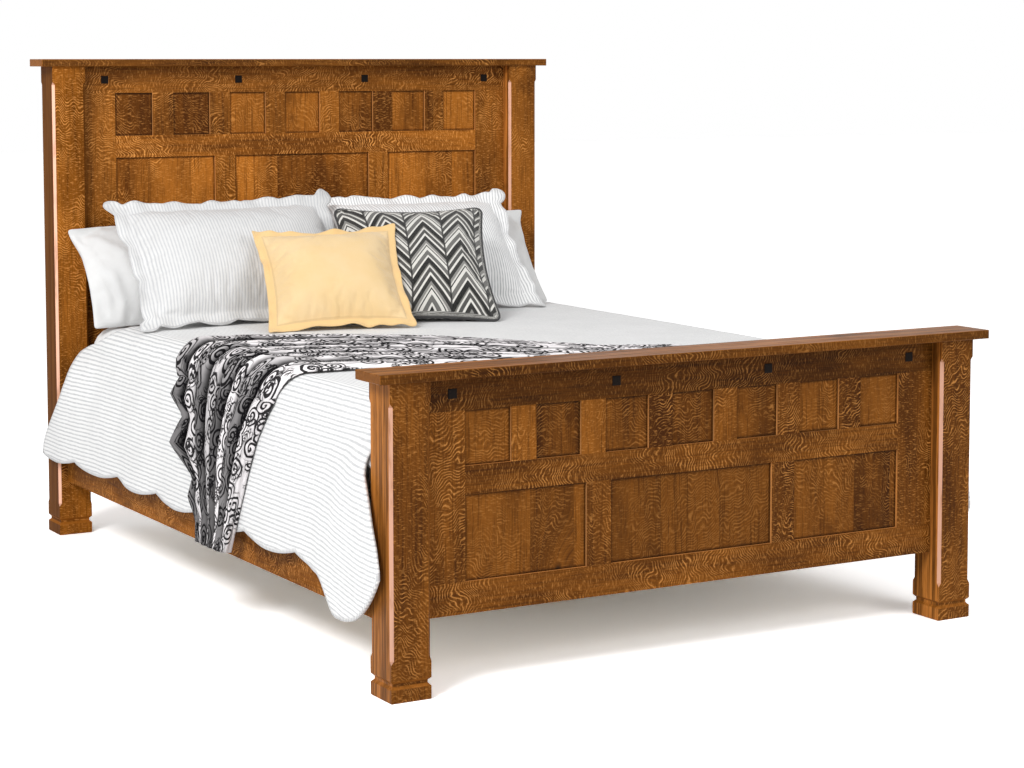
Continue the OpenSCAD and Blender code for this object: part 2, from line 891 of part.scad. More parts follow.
// Ring of points round a rectangle with rounded corners, as far inside the mattress's outline as inset
function ring(inset, z) = let (r = max(20, mattress_r - inset), n = 6)
    [for (q = [0 : 3], k = [0 : n])
        let (a = 90 * (q + k / n), sx = q == 0 || q == 3 ? 1 : -1, sy = q < 2 ? 1 : -1)
            [sx * (half_m - inset - r) + r * cos(a), bed_y + sy * (half_l - inset - r) + r * sin(a), z]];

// Closed skin over rings of equal length, from the lowest to the highest
module skin(rings) {
    n = len(rings[0]);
    last = (len(rings) - 1) * n;
    sides = [for (k = [0 : len(rings) - 2], i = [0 : n - 1])
        let (a = k * n + i, b = k * n + (i + 1) % n)
            each [[a, a + n, b + n], [a, b + n, b]]];
    low = [[for (i = [0 : n - 1]) i]];
    high = [[for (i = [n - 1 : -1 : 0]) last + i]];
    polyhedron([for (r = rings) each r], concat(sides, low, high));
}

// Rings of the mattress's upper edge and crown, grown outwards
function upper_rings(grow) = concat(
    [for (a = [0 : 22.5 : 90]) ring(mattress_edge * (1 - cos(a)) - grow * cos(a),
                                    mattress_top - mattress_edge * (1 - sin(a)) + grow * sin(a))],
    [ring(crown_inset, mattress_top + mattress_crown + grow)]);

module mattress() {
    lower = [for (a = [0 : 30 : 90])
        ring(mattress_low_edge * (1 - sin(a)), mattress_z + mattress_low_edge * (1 - cos(a)))];
    color(ticking) skin(concat(lower, upper_rings(0)));
}

module fitted_sheet() {
    color(white_cloth) difference() {
        skin(concat([ring(-soft_gap - sheet_t, mattress_z + mattress_low_edge)],
                    upper_rings(soft_gap + sheet_t)));
        skin(concat([ring(-soft_gap, mattress_z)], upper_rings(soft_gap)));
    }
}

// Height of the fitted sheet's top at a place on the bed
function sheet_surface(x, y) =
    let (inset = min(half_m - abs(x), half_l - abs(y - bed_y)))
        mattress_top + soft_gap + sheet_t
            + mattress_crown * min(1, max(0, (inset - mattress_edge) / (crown_inset - mattress_edge)));

// Solid between two grids of points; the second is under the first, which faces outwards
module grid_solid(top, low) {
    n = len(top) - 1;
    m = len(top[0]) - 1;
    under = (n + 1) * (m + 1);
    function at(i, j) = i * (m + 1) + j;
    cells = [for (i = [0 : n - 1], j = [0 : m - 1])
        let (a = at(i, j), b = at(i + 1, j), c = at(i + 1, j + 1), d = at(i, j + 1))
            each [[a, d, c], [a, c, b], [under + a, under + b, under + c], [under + a, under + c, under + d]]];
    ends = [for (j = [0 : m - 1])
        let (a = at(0, j), b = at(0, j + 1), c = at(n, j), d = at(n, j + 1))
            each [[b, a, under + a], [b, under + a, under + b], [c, d, under + d], [c, under + d, under + c]]];
    rims = [for (i = [0 : n - 1])
        let (a = at(i, 0), b = at(i + 1, 0), c = at(i, m), d = at(i + 1, m))
            each [[a, b, under + b], [a, under + b, under + a], [d, c, under + c], [d, under + c, under + d]]];
    polyhedron(concat([for (r = top) each r], [for (r = low) each r]), concat(cells, ends, rims));
}

function normals(g) = let (n = len(g) - 1, m = len(g[0]) - 1)
    [for (i = [0 : n]) [for (j = [0 : m])
        unit(cross(g[min(i + 1, n)][j] - g[max(i - 1, 0)][j], g[i][min(j + 1, m)] - g[i][max(j - 1, 0)]))]];

// The quilt's inside as it lies on the bed. s runs across it from the bed's middle, and v is the
// distance behind the front of the footboard posts.
quilt_z = mattress_top + sheet_t + 2 * soft_gap;
core = half_m + sheet_t + 2 * soft_gap - quilt_edge;
bend = quilt_edge * PI / 2;
hang_z = quilt_z - quilt_edge;
foot_core_v = bed_y - half_l - foot_face - 2 + quilt_edge;
head_line = head_face - foot_face;

function ear(v) = max(smooth((420 - v) / 300), smooth((v - head_line + 335) / 300));
function reach(h, v) = let (e = ear(v))
    quilt_reach * (1 - exp(-h * mix(side_slack, post_slack, e)))
        + side_wave * (1 - e) * smooth(h / 250) * (0.5 - 0.5 * cos(360 * (v - 1700) / scallop_l));

function drape(s, v) = let (q = abs(s), side = sign(s), a = (q - core) / bend * 90, h = q - core - bend)
    q <= core ? [s, v, quilt_z + quilt_crown * (1 - pow(s / core, 2))]
    : q <= core + bend ? [side * (core + quilt_edge * sin(a)), v, quilt_z - quilt_edge * (1 - cos(a))]
    : [side * (core + quilt_edge + reach(h, v)), v, hang_z - h];

function quilt_t(s) = mix(quilt_top_t, quilt_side_t, smooth((abs(s) - core) / bend));
function quilt_surface(x) = quilt_z + quilt_crown * (1 - pow(x / core, 2)) + quilt_top_t;

// The quilt's flat strips between its stations, which the pillows press down to
function quilt_rest(x) = quilt_z + quilt_top_t + quilt_crown * lookup(abs(x) / core, [[0, 1], [0.5, 0.75], [1, 0]]);

// Height of the hem, the front edge and the head edge of the hanging sides
function hem(v) = v > 350 ? hem_z + scallop_h * cos(360 * (v - 1700) / scallop_l)
    : v > tip_v ? mix(tip_z, hem_z - scallop_h, smooth((v - tip_v) / (350 - tip_v)))
    : mix(tip_z, ear_z, pow((tip_v - v) / (tip_v - ear_v), 2));
function front_v(h) = mix(foot_core_v - quilt_edge, ear_v, smooth((h - 160) / 120))
    - 8 * smooth(h / 120) * (1 - smooth((h - 160) / 120));
function head_v(h) = head_line - mix(head_side_gap, 4.6, smooth(h / 105))
    + (head_hem_past + 4.6) * smooth((h - 150) / 80) - 20 * smooth((h - 260) / 80);

// Stations across the quilt: side, place on the top, angle over the edge, part of the drop
edge_stations = [[1, 1, 0, 0], [1, 1, 30, 0], [1, 1, 60, 0], [1, 1, 90, 0],
                 [1, 1, 90, 0.25], [1, 1, 90, 0.5], [1, 1, 90, 0.75], [1, 1, 90, 1]];
stations = concat(
    [for (k = [7 : -1 : 0]) [-1, edge_stations[k][1], edge_stations[k][2], edge_stations[k][3]]],
    [[-1, 0.5, 0, 0], [1, 0, 0, 0], [1, 0.5, 0, 0]],
    edge_stations);
foot_steps = 4;
long_steps = 31;

// Place of a station's point along the bed, h below the mattress's edge; flat is 1 on the bed's top
function along(j, h, flat, rear) =
    let (start = mix(tip_v, foot_core_v, flat), roll = 90 * min(1, (foot_steps - j) / (foot_steps - 1)))
    j >= foot_steps ? mix(start, rear, (j - foot_steps) / (long_steps - foot_steps))
    : mix(mix(front_v(h), start, j / foot_steps), foot_core_v - quilt_edge * sin(roll), flat);

function hung(f, j, h, tries) = tries == 0 ? h
    : hung(f, j, f * (hang_z - hem(along(j, h, 0, head_v(h)))), tries - 1);

function quilt_point(st, j) =
    let (angle = st[2],
         flat = st[3] > 0 ? 0 : cos(angle),
         h = st[3] > 0 ? hung(st[3], j, st[3] * 340, 3) : 0,
         rear = st[3] > 0 ? head_v(h) : head_line - mix(head_end_gap, head_side_gap, angle / 90),
         v = along(j, h, flat, rear),
         s = st[0] * (core * st[1] + bend * angle / 90 + h),
         roll = 90 * min(1, max(0, (foot_steps - j) / (foot_steps - 1))),
         sink = flat * (quilt_edge * (1 - cos(roll)) + (j == 0 ? foot_tuck : 0)))
    drape(s, v) - [0, 0, sink];

quilt_inside = [for (st = stations) [for (j = [0 : long_steps]) quilt_point(st, j)]];

function thickened(g, t) = let (n = normals(g))
    [for (i = [0 : len(g) - 1]) [for (j = [0 : len(g[0]) - 1]) g[i][j] + n[i][j] * t[i]]];

module quilt() {
    t = [for (st = stations) mix(quilt_top_t, quilt_side_t, smooth(st[2] / 90))];
    color(stripe_cloth) translate([0, foot_face, 0]) grid_solid(thickened(quilt_inside, t), quilt_inside);
}

// Throw over the quilt's left side, with its edges' places along the bed for each place across it
throw_hem_s = -(core + bend + hang_z - throw_z);
throw_near = [[throw_hem_s, 795], [-800, 655], [-600, 637], [-15, 400], [throw_end_x, 250]];
throw_far = [[throw_hem_s, 1031], [-800, 1400], [-600, 1412], [-367, 1277], [-193, 1133],
             [-15, 833], [112, 633], [throw_end_x, 560]];
throw_hang_steps = 4;
throw_s = concat(
    [for (k = [0 : throw_hang_steps - 1]) mix(throw_hem_s, -core - bend, k / throw_hang_steps)],
    [for (k = [0 : 3]) -core - bend * (1 - k / 3)],
    [-600, -450, -280, -80, 110, throw_end_x]);
throw_steps = 4 * fold_count;

function drape_normal(s, v) = unit(cross(drape(s + 4, v) - drape(s - 4, v), drape(s, v + 4) - drape(s, v - 4)));
function throw_point(s, p, extra) =
    let (v = mix(lookup(s, throw_near), lookup(s, throw_far), p),
         fold = fold_h * (0.5 - 0.5 * cos(360 * fold_count * p)))
    drape(s, v) + drape_normal(s, v) * (quilt_t(s) + 2 + fold + extra);

module throw() {
    function grid(extra) = [for (s = throw_s) [for (k = [0 : throw_steps]) throw_point(s, k / throw_steps, extra)]];
    color(throw_grey) translate([0, foot_face, 0]) grid_solid(grid(throw_t), grid(0));
}

// A pillow's axes: to its right, up its slope and out of its back
function right_of(yaw) = [cos(yaw), -sin(yaw), 0];
function slope_of(yaw, lean) = [sin(yaw) * sin(lean), cos(yaw) * sin(lean), cos(lean)];
function back_of(yaw, lean) = [sin(yaw) * cos(lean), cos(yaw) * cos(lean), -sin(lean)];

// A pillow is its place [x, y, z] under the middle of its bottom edge, then [yaw, lean, roll],
// then [width, height, front loft, back loft, flange]
function placed(at, turn, q) =
    let (r = right_of(turn[0]), u = slope_of(turn[0], turn[1]), c = cos(turn[2]), s = sin(turn[2]))
    at + (r * c + u * s) * q[0] + back_of(turn[0], turn[1]) * q[1] + (u * c - r * s) * q[2];

function swell(t) = pow(1 - pow(min(1, abs(t)), 2.5), 0.6);
function pillow_steps(flange) = flange > 0 ? 12 : 10;
function pillow_station(k, flange, size) = let (n = pillow_steps(flange), f = 1 - 2 * flange / size)
    k == 0 ? -1 : k == n ? 1
    : flange > 0 ? -f * cos(180 * (k - 1) / (n - 2)) : -cos(180 * k / n);

// Moves a point to the near side of each plane [place, normal]; out points out of its own side of the
// pillow, and the side that faces away keeps both thicknesses of cloth clear of the plane
function pressed(q, planes, out, k = 0) = k == len(planes) ? q
    : let (normal = planes[k][1], cloth = out * normal < 0 ? 2 * seam_t : 0,
           d = max(0, (q - planes[k][0]) * normal + cloth)) pressed(q - d * normal, planes, out, k + 1);

// Grid of points of a pillow's front or back; without a level, its bottom lies on the quilt
function pillow_grid(at, turn, size, loft, planes, low, corner) =
    let (n = pillow_steps(size[4]), side = sign(loft))
    [for (i = [0 : n]) [for (j = [0 : n])
        let (u = pillow_station(i, size[4], size[0]),
             v = pillow_station(j, size[4], size[1]),
             puff = swell(u / (1 - 2 * size[4] / size[0])) * swell(v / (1 - 2 * size[4] / size[1])),
             pull = corner * smooth((-u - 0.6) / 0.4) * smooth((v - 0.3) / 0.7),
             x = size[0] / 2 * u * (1 - draw_in * (1 - v * v)) - pull,
             z = size[1] / 2 * (1 + v * (1 - draw_in * (1 - u * u))) - 0.6 * pull,
             q = pressed(placed(at, turn, [x, side * seam_t + loft * puff, z]), planes,
                         side * back_of(turn[0], turn[1])),
             bed = is_undef(low) ? quilt_rest(q[0]) + soft_gap + 0.2 : low)
        [q[0], q[1], max(q[2], bed + side * 0.2)]]];

module pillow(at, turn, size, planes = [], low = undef, corner = 0) {
    grid_solid(pillow_grid(at, turn, size, -size[2], planes, low, corner),
               pillow_grid(at, turn, size, size[3], planes, low, corner));
}

// Planes that the pillows press on: the headboard's face, its posts' fronts, and the one that the
// two small pillows share, which holds the way up the chevron pillow's slope
board_face = head_face + board_setback;
board_plane = [[0, board_face - 0.6, 0], [0, 1, 0]];
post_plane = [[0, head_face - 0.6, 0], [0, 1, 0]];
slide_yaw = 18.4;
slide_lean = 44.6;
press_turn = 25;
press_normal = back_of(slide_yaw, slide_lean) * cos(press_turn) + right_of(slide_yaw) * sin(press_turn);
chevron_at = [chevron_x, board_face - chevron_foot, quilt_surface(chevron_x)];
press_at = chevron_at - back_of(slide_yaw, slide_lean) * press_front - right_of(slide_yaw) * press_side;

white_x = half_m + white_past - white_w / 2;
white_y = board_face - white_foot;

module white_pillow(corner = 0) {
    z = sheet_surface(white_x, white_y);
    color(white_cloth) pillow([-white_x, white_y, z], [0, white_lean, 0],
                              [white_w, white_h, white_loft, white_loft, 0],
                              [post_plane], z + soft_gap, corner);
}

module white_pillow_left() {
    white_pillow(case_corner);
}

module white_pillow_right() {
    mirror([1, 0, 0]) white_pillow();
}

module sham(x, y, turn) {
    color(stripe_cloth) pillow([x, y, quilt_surface(x)], turn,
                               [sham_w, sham_h, sham_loft, sham_loft, sham_flange], [board_plane]);
}

module sham_left() {
    sham(-sham_left_x, board_face - sham_left_foot, [3, sham_left_lean, 1]);
}

module sham_right() {
    sham(sham_right_x, board_face - sham_right_foot, [6, sham_right_lean, 0]);
}

module chevron_pillow() {
    color(chevron_grey) pillow(chevron_at, [18.6, chevron_lean, -0.5],
                               [chevron_w, chevron_w, chevron_front, chevron_back, 0],
                               [[press_at + press_normal * pillow_gap / 2, -press_normal]]);
}

module yellow_pillow() {
    color(yellow_cloth) pillow([-yellow_x, board_face - yellow_foot, quilt_surface(yellow_x)],
                               [17.7, yellow_lean, 2.3],
                               [yellow_w, yellow_h, yellow_front, yellow_back, yellow_flange],
                               [[press_at - press_normal * pillow_gap / 2, press_normal]]);
}

head_post_left();
head_post_right();
head_cap();
head_top_rail();
head_mid_rail();
head_bottom_rail();
head_stile_left();
head_stile_right();
head_upper_muntins();
head_lower_muntins();
head_upper_panels();
head_lower_panel_left();
head_lower_panel_middle();
head_lower_panel_right();
head_pegs();
foot_post_left();
foot_post_right();
foot_cap();
foot_top_rail();
foot_mid_rail();
foot_bottom_rail();
foot_stile_left();
foot_stile_right();
foot_upper_muntins();
foot_lower_muntins();
foot_upper_panels();
foot_lower_panel_left();
foot_lower_panel_middle();
foot_lower_panel_right();
foot_pegs();
cap_dowels();
side_rail_left();
side_rail_right();
cleat_left();
cleat_right();
slat(1);  // slat_1
slat(2);  // slat_2
slat(3);  // slat_3
slat(4);  // slat_4
slat(5);  // slat_5
centre_leg(2);  // centre_leg_1
centre_leg(3);  // centre_leg_2
centre_leg(4);  // centre_leg_3
rail_hook_plates();
post_plates();
plate_screws();
cleat_screws();
slat_screws();
foundation();
mattress();
fitted_sheet();
quilt();
throw();
white_pillow_left();
white_pillow_right();
sham_left();
sham_right();
chevron_pillow();
yellow_pillow();
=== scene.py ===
"""Dresses a queen bed: oak finish, mattress set, quilt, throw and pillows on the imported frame."""

import math
from dataclasses import dataclass

import bmesh
import bpy
from mathutils import Matrix, Vector, noise


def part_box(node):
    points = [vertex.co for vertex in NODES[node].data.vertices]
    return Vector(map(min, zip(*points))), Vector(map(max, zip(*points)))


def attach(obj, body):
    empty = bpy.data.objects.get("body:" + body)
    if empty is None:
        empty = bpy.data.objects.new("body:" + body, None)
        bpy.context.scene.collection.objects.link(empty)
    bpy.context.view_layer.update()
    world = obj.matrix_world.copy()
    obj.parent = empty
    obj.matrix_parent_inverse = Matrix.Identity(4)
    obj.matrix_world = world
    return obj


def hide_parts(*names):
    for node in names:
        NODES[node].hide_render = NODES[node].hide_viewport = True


bl_info = {
    "name": "Panelled Bed",
    "version": (1, 0, 0),
    "blender": (4, 5, 0),
    "location": "3D View > Sidebar > Bed",
    "description": "Finishes an oak bed frame and makes up its bedding",
    "category": "Object",
}

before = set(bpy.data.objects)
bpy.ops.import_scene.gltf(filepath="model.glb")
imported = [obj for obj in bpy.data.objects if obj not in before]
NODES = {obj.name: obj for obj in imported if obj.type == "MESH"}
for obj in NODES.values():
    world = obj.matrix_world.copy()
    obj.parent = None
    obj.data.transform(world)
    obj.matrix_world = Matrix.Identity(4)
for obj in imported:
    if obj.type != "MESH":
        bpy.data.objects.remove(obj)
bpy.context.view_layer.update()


# Sizes that the source of the solids also has, in metres

HALF_WIDTH, HALF_LENGTH, BED_Y = 0.762, 1.016, 0.011
FOUNDATION_Z, FOUNDATION_TOP = 0.222, 0.425
MATTRESS_TOP, MATTRESS_CORNER, MATTRESS_EDGE, CROWN, CROWN_INSET = 0.635, 0.115, 0.064, 0.004, 0.3
SHEET_T, GAP = 0.0012, 0.0004
QUILT_EDGE, QUILT_TOP_T, QUILT_SIDE_T, QUILT_CROWN = 0.060, 0.018, 0.011, 0.008
QUILT_REACH, SIDE_SLACK, POST_SLACK, SIDE_WAVE = 0.084, 3.9, 14.0, 0.005
SCALLOP_TOP, SCALLOP_DEEP, SCALLOP_L, SCALLOP_V = 0.255, 0.023, 0.300, 1.7
TIP_Z, TIP_V, EAR_V, EAR_Z, FOOT_TUCK = 0.152, 0.230, 0.025, 0.302, 0.090
HEAD_END_GAP, HEAD_SIDE_GAP = 0.2896, 0.106
FOOT_FACE, HEAD_FACE, BOARD_SETBACK = -1.1321, 1.0525, 0.038
HEAD_LINE = HEAD_FACE - FOOT_FACE
QUILT_Z = MATTRESS_TOP + SHEET_T + 2 * GAP
CORE = HALF_WIDTH + SHEET_T + 2 * GAP - QUILT_EDGE
BEND = QUILT_EDGE * math.pi / 2
HANG_Z = QUILT_Z - QUILT_EDGE
FOOT_CORE = BED_Y - HALF_LENGTH - FOOT_FACE - 0.002 + QUILT_EDGE
THROW_Z, THROW_END = 0.190, 0.300
THROW_HEM = -(CORE + BEND + HANG_Z - THROW_Z)


# Small helpers

def smooth(t):
    t = min(1.0, max(0.0, t))
    return t * t * (3 - 2 * t)


def mix(a, b, t):
    return a + (b - a) * t


def lookup(x, table):
    """The value at x on the line through the table's points"""
    if x <= table[0][0]:
        return table[0][1]
    for (x0, y0), (x1, y1) in zip(table, table[1:]):
        if x <= x1:
            return mix(y0, y1, (x - x0) / (x1 - x0))
    return table[-1][1]


def bumpy(point, size, seed=0.0):
    """Smooth noise from -1 to 1 with features of that size"""
    return noise.noise(Vector(point) / size + Vector((seed, seed * 1.7, -seed * 0.6)))


def given(thing, **settings):
    """The thing, once it has these settings"""
    for key, value in settings.items():
        setattr(thing, key, value)
    return thing


def put(name, data):
    """A new object in the scene"""
    made = bpy.data.objects.new(name, data)
    bpy.context.scene.collection.objects.link(made)
    return made


def mesh_of(name, bm):
    mesh = bpy.data.meshes.new(name)
    bm.to_mesh(mesh)
    bm.free()
    return mesh


def add_object(name, shape, body, material):
    """Puts a finished mesh or bmesh into the scene, smooth, on the body that carries it"""
    mesh = mesh_of(name, shape) if isinstance(shape, bmesh.types.BMesh) else shape
    for polygon in mesh.polygons:
        polygon.use_smooth = True
    mesh.materials.append(material)
    piece = put(name, mesh)
    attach(piece, body)
    return piece


def modifier(piece, kind, **settings):
    given(piece.modifiers.new(kind.title(), kind), **settings)


def evaluated(piece):
    """A mesh of the piece with its modifiers or its curve's bevel"""
    graph = bpy.context.evaluated_depsgraph_get()
    return bpy.data.meshes.new_from_object(piece.evaluated_get(graph), depsgraph=graph)


def cloth_grid(across, along, place, flat):
    """A grid whose point at (a, b), each from 0 to 1, lies at place(a, b), with a UV map in metres from
    flat(a, b)"""
    bm = bmesh.new()
    bmesh.ops.create_grid(bm, x_segments=across, y_segments=along, size=0.5)
    cut = bm.loops.layers.uv.new("Cut")
    where = {v: (min(1, max(0, v.co.x + 0.5)), min(1, max(0, v.co.y + 0.5))) for v in bm.verts}
    cuts = {v: flat(*ab) for v, ab in where.items()}
    for face in bm.faces:
        for loop in face.loops:
            loop[cut].uv = cuts[loop.vert]
    for v, ab in where.items():
        v.co = place(*ab)
    return bm


# Materials

class Value:
    """An output of a node; plain arithmetic on it adds Math nodes"""

    def __init__(self, nodes, socket):
        self.nodes, self.socket = nodes, socket

    def __add__(self, other):
        return self.nodes.math("ADD", self, other)

    def __sub__(self, other):
        return self.nodes.math("SUBTRACT", self, other)

    def __rsub__(self, other):
        return self.nodes.math("SUBTRACT", other, self)

    def __mul__(self, other):
        return self.nodes.math("MULTIPLY", self, other)

    def __truediv__(self, other):
        return self.nodes.math("DIVIDE", self, other)

    def __abs__(self):
        return self.nodes.math("ABSOLUTE", self)


class Nodes:
    """A node tree, built up by calls"""

    def __init__(self, tree):
        self.tree = tree

    def node(self, kind, *inputs, out=0, named=None, **settings):
        """Adds a node, and gives its output, or a list of them where out is a tuple"""
        made = given(self.tree.nodes.new("ShaderNode" + kind), **settings)
        for socket, value in zip(made.inputs, inputs):
            self.feed(socket, value)
        for key, value in (named or {}).items():
            self.feed(made.inputs[key], value)
        if isinstance(out, tuple):
            return [Value(self, made.outputs[key]) for key in out]
        return Value(self, made.outputs[out])

    def feed(self, socket, value):
        if isinstance(value, Value):
            self.tree.links.new(value.socket, socket)
        elif value is not None:
            socket.default_value = (*value, 1.0) if socket.type == "RGBA" else value

    def math(self, operation, *values, clamp=False):
        return self.node("Math", *values, operation=operation, use_clamp=clamp)

    def step(self, value, low, high, to_low=0.0, to_high=1.0):
        return self.node("MapRange", value, low, high, to_low, to_high, interpolation_type="SMOOTHSTEP")

    def mix(self, factor, a, b, blend="MIX"):
        return self.node("Mix", factor, *[None] * 5, a, b, out=2, data_type="RGBA", blend_type=blend)

    def noise(self, vector, scale, detail=2.0, roughness=0.5, out=0):
        return self.node("TexNoise", out=out,
                         named=dict(Vector=vector, Scale=scale, Detail=detail, Roughness=roughness))

    def stretched(self, vector, along, across, detail=2.0, roughness=0.5):
        """Noise with its own scale along the grain or cut and across it"""
        return self.noise(self.times(vector, (along, across, across)), 1.0, detail, roughness)

    def xyz(self, vector):
        return self.node("SeparateXYZ", vector, out=(0, 1, 2))

    def vector(self, x, y, z=0.0):
        return self.node("CombineXYZ", x, y, z)

    def add(self, vector, other):
        return self.node("VectorMath", vector, other, operation="ADD")

    def times(self, vector, other):
        return self.node("VectorMath", vector, other, operation="MULTIPLY")

    def place(self, output="Object"):
        return self.node("TexCoord", out=output)

    def mark(self, name):
        """A mark that the piece's points carry"""
        return self.node("Attribute", out="Fac", attribute_type="GEOMETRY", attribute_name=name)

    def by_grain(self, along):
        """The coordinates along the grain, across it and through it"""
        x, y, z = self.xyz(self.place())
        return {"X": (x, z, y), "Y": (y, z, x), "Z": (z, x, y)}[along]

    def hashed(self, x, y):
        """A random number from 0 to 1 for each pair of whole numbers"""
        return self.node("TexWhiteNoise", self.vector(x, y), noise_dimensions="3D")

    def seen(self):
        """1 where the camera or a reflection looks, 0 where light is gathered"""
        return self.math("MAXIMUM", *self.node("LightPath", out=("Is Camera Ray", "Is Glossy Ray")))


class Finish(Nodes):
    """One material, with its shader's sockets by name"""

    def __init__(self, name, **sockets):
        self.material = bpy.data.materials.new(name)
        self.material.use_nodes = True
        super().__init__(self.material.node_tree)
        self.set(**sockets)

    def set(self, **sockets):
        for key, value in sockets.items():
            self.feed(self.tree.nodes["Principled BSDF"].inputs[key.replace("_", " ")], value)

    def done(self, colour, height=None, depth=0.0, strength=1.0, **sockets):
        """The material, once its colour, its bump and any more sockets are linked"""
        if height:
            bump = dict(Strength=strength, Distance=depth, Height=height)
            sockets["Normal"] = self.node("Bump", named=bump)
        self.set(Base_Color=colour, **sockets)
        return self.material


def oak(name, along, seed, tone, boards=0.0, cells=None, flecks=1.0, worn=False, side_tone=1.0, lit=0.0,
        recess=None, gloss=0.04):
    """Quarter-sawn oak with its grain along one axis. boards is the mean width of glued boards, cells the
    (pitch, offset) of separate pieces in one node, lit how strong a painted highlight the faces towards the
    panels get, and recess the (x0, x1, z0, z1, pitch) between whose sides a panel shows, with painted shade
    darkening the panel along them"""
    look = bpy.context.scene.bed_oak
    dark, mid, light = look.dark, look.mid, look.light
    f = Finish(name, Specular_IOR_Level=gloss)
    length, width, depth = f.by_grain(along)
    chance, glue = None, None
    if boards:
        rows = dict(W=width + seed * 3.1, Scale=1.0 / boards)
        row = f.node("TexVoronoi", out="Color", named=rows, voronoi_dimensions="1D")
        chance = f.node("SeparateColor", row)
        edge = f.node("TexVoronoi", named=rows, voronoi_dimensions="1D", feature="DISTANCE_TO_EDGE")
        glue = f.step(edge, 0.0, 0.012, 0.72, 1.0)
    elif cells:
        chance = f.hashed(f.math("ROUND", (width + cells[1]) / cells[0]), seed)
    shift = chance * 7.3 + seed if chance else seed
    grain = f.vector(length + shift, width + shift, depth)

    # Knots pull the grain round them
    apart = 2.6
    near, colour = f.node("TexVoronoi", out=("Distance", "Color"),
                          named=dict(Vector=f.times(grain, (0.62, 1.0, 0.3)), Scale=apart))
    near = near / apart
    marked = f.math("GREATER_THAN", f.node("SeparateColor", colour, out=1), 0.74)
    pull = f.step(near, 0.0, 0.10, 1.0, 0.0) * marked
    eye = f.step(f.noise(grain, 60.0) * 0.014 + near, 0.010, 0.022, 1.0, 0.0) * marked
    bent = f.add(grain, f.vector(0.0, pull * 0.06))
    along_bent, across_bent, _ = f.xyz(bent)

    wave = f.stretched(bent, 2.4, 9.0, 3.0, 0.55)
    streak = f.stretched(bent, 5.0, 130.0, 3.0, 0.65)
    fine = f.stretched(bent, 22.0, 480.0, 2.0, 0.6)
    body = wave * 0.60 + streak * 0.44
    if chance:
        body = body + (chance * 0.34 - 0.17)
    base = f.mix(f.step(body, 0.32, 0.70), dark, mid)

    # Ray flecks: light lines that swirl over the quarter-sawn faces like contours
    tilt = math.radians(40 * math.sin(seed * 2.7))
    straight = along_bent * math.cos(tilt) + across_bent * math.sin(tilt)
    swirl = f.stretched(bent, 13.0, 23.0, 1.2, 0.4) * look.fleck_swirl
    phase = swirl + straight * (2 * math.pi / look.fleck_pitch) + f.noise(bent, 130.0, 1.0) * 2.2
    contour = f.math("SINE", phase)
    band = f.step(contour, 0.45, 1.0)
    broken = f.step(f.stretched(bent, 60.0, 45.0, 2.0, 0.6), 0.36, 0.58)
    patch = f.step(f.stretched(bent, 5.0, 9.0), 0.40, 0.62, 0.12, 1.0)
    dashes = f.step(f.stretched(bent, 360.0, 75.0, 1.0), 0.56, 0.70, 0.0, 0.55)
    normal = f.xyz(f.place("Normal"))
    face = abs(normal[0 if along == "Y" else 1])
    quartered = f.step(face, 0.5, 0.9)
    ray = f.math("MAXIMUM", band * broken * patch, dashes) * quartered
    base = f.mix(ray * (0.85 * flecks), base, light)
    trough = f.step(contour, -0.95, -0.2, 0.40 * flecks, 0.0) * patch
    base = f.mix(trough * quartered, base, dark)

    # Straight-sawn sides show long light and dark lines
    lines = f.stretched(bent, 1.2, 70.0, 3.0, 0.65)
    # Painted shade: the light lines of the straight-sawn sides are scaled down part by part
    lit_side = [0.92 * side_tone * a * b for a, b in zip((1.12, 0.94, 0.7), light)]
    sawn = f.mix(f.step(lines, 0.38, 0.60, 0.22, 1.0), dark, lit_side)
    base = f.mix(f.step(face, 0.5, 0.9, 0.90, 0.0), base, sawn)
    smudge = f.stretched(bent, 5.0, 8.0, 3.0, 0.6)
    stains = ((streak, 0.52, 0.66, 0.55), (fine, 0.55, 0.70, 0.50), (smudge, 0.60, 0.74, 0.55))
    for mark, low, high, share in stains:
        base = f.mix(f.step(mark, low, high, 0.0, share), base, dark)
    end_grain = f.step(abs(normal["XYZ".index(along)]), 0.5, 0.9, 0.0, 0.85)
    base = f.mix(end_grain, base, [1.1 * c for c in mid])
    base = f.mix(eye * 0.92, base, (0.012, 0.006, 0.003))
    if glue:
        base = f.mix(1.0, base, f.node("CombineColor", glue, glue, glue), "MULTIPLY")
    # Painted highlight: the sides of upright parts and the tops of rails are lighter, as if lit by the lamp
    if lit:
        facing = abs(normal[0]) if along == "Z" else normal[2]
        base = f.mix(f.step(facing, 0.80, 0.95, 0.0, lit), base, (0.56, 0.27, 0.10))
    # Painted shade: a panel darkens strongly within a few millimetres of the frame round it
    if recess:
        x, _, z = f.xyz(f.place())
        x0, x1, z0, z1, pitch = recess
        if pitch:
            to_side = (x1 - x0) / 2 - abs(f.math("FRACT", x / pitch + 0.5) - 0.5) * pitch
        else:
            to_side = f.math("MINIMUM", x - x0, x1 - x)
        inside = f.math("MINIMUM", to_side, f.math("MINIMUM", z - z0, z1 - z))
        base = f.mix(f.step(inside, 0.0005, 0.0085, 0.72, 0.0), base, (0.010, 0.004, 0.001))
    # The posts' chamfers that face front left, towards the key lamp, get a patchy light colour: partly wear,
    # partly a painted highlight
    if worn:
        corner = f.step(normal[0] * normal[1], 0.30, 0.45) * f.step(normal[1], -0.5, -0.3, 1.0, 0.0)
        patchy = f.step(f.stretched(grain, 9.0, 60.0, 3.0, 0.6), 0.25, 0.55, 0.35, 0.80)
        base = f.mix(corner * patchy, base, look.worn)
    # tone brightens or darkens the whole part: its own tone, and painted light and shade set part by part
    if tone != 1.0:
        base = f.mix(1.0, base, [tone] * 3, "MULTIPLY")
    rough = f.step(streak, 0.3, 0.8, 0.34, 0.50)
    return f.done(base, streak * 0.6 + fine * 0.4, 0.0006, 0.6, Roughness=rough)


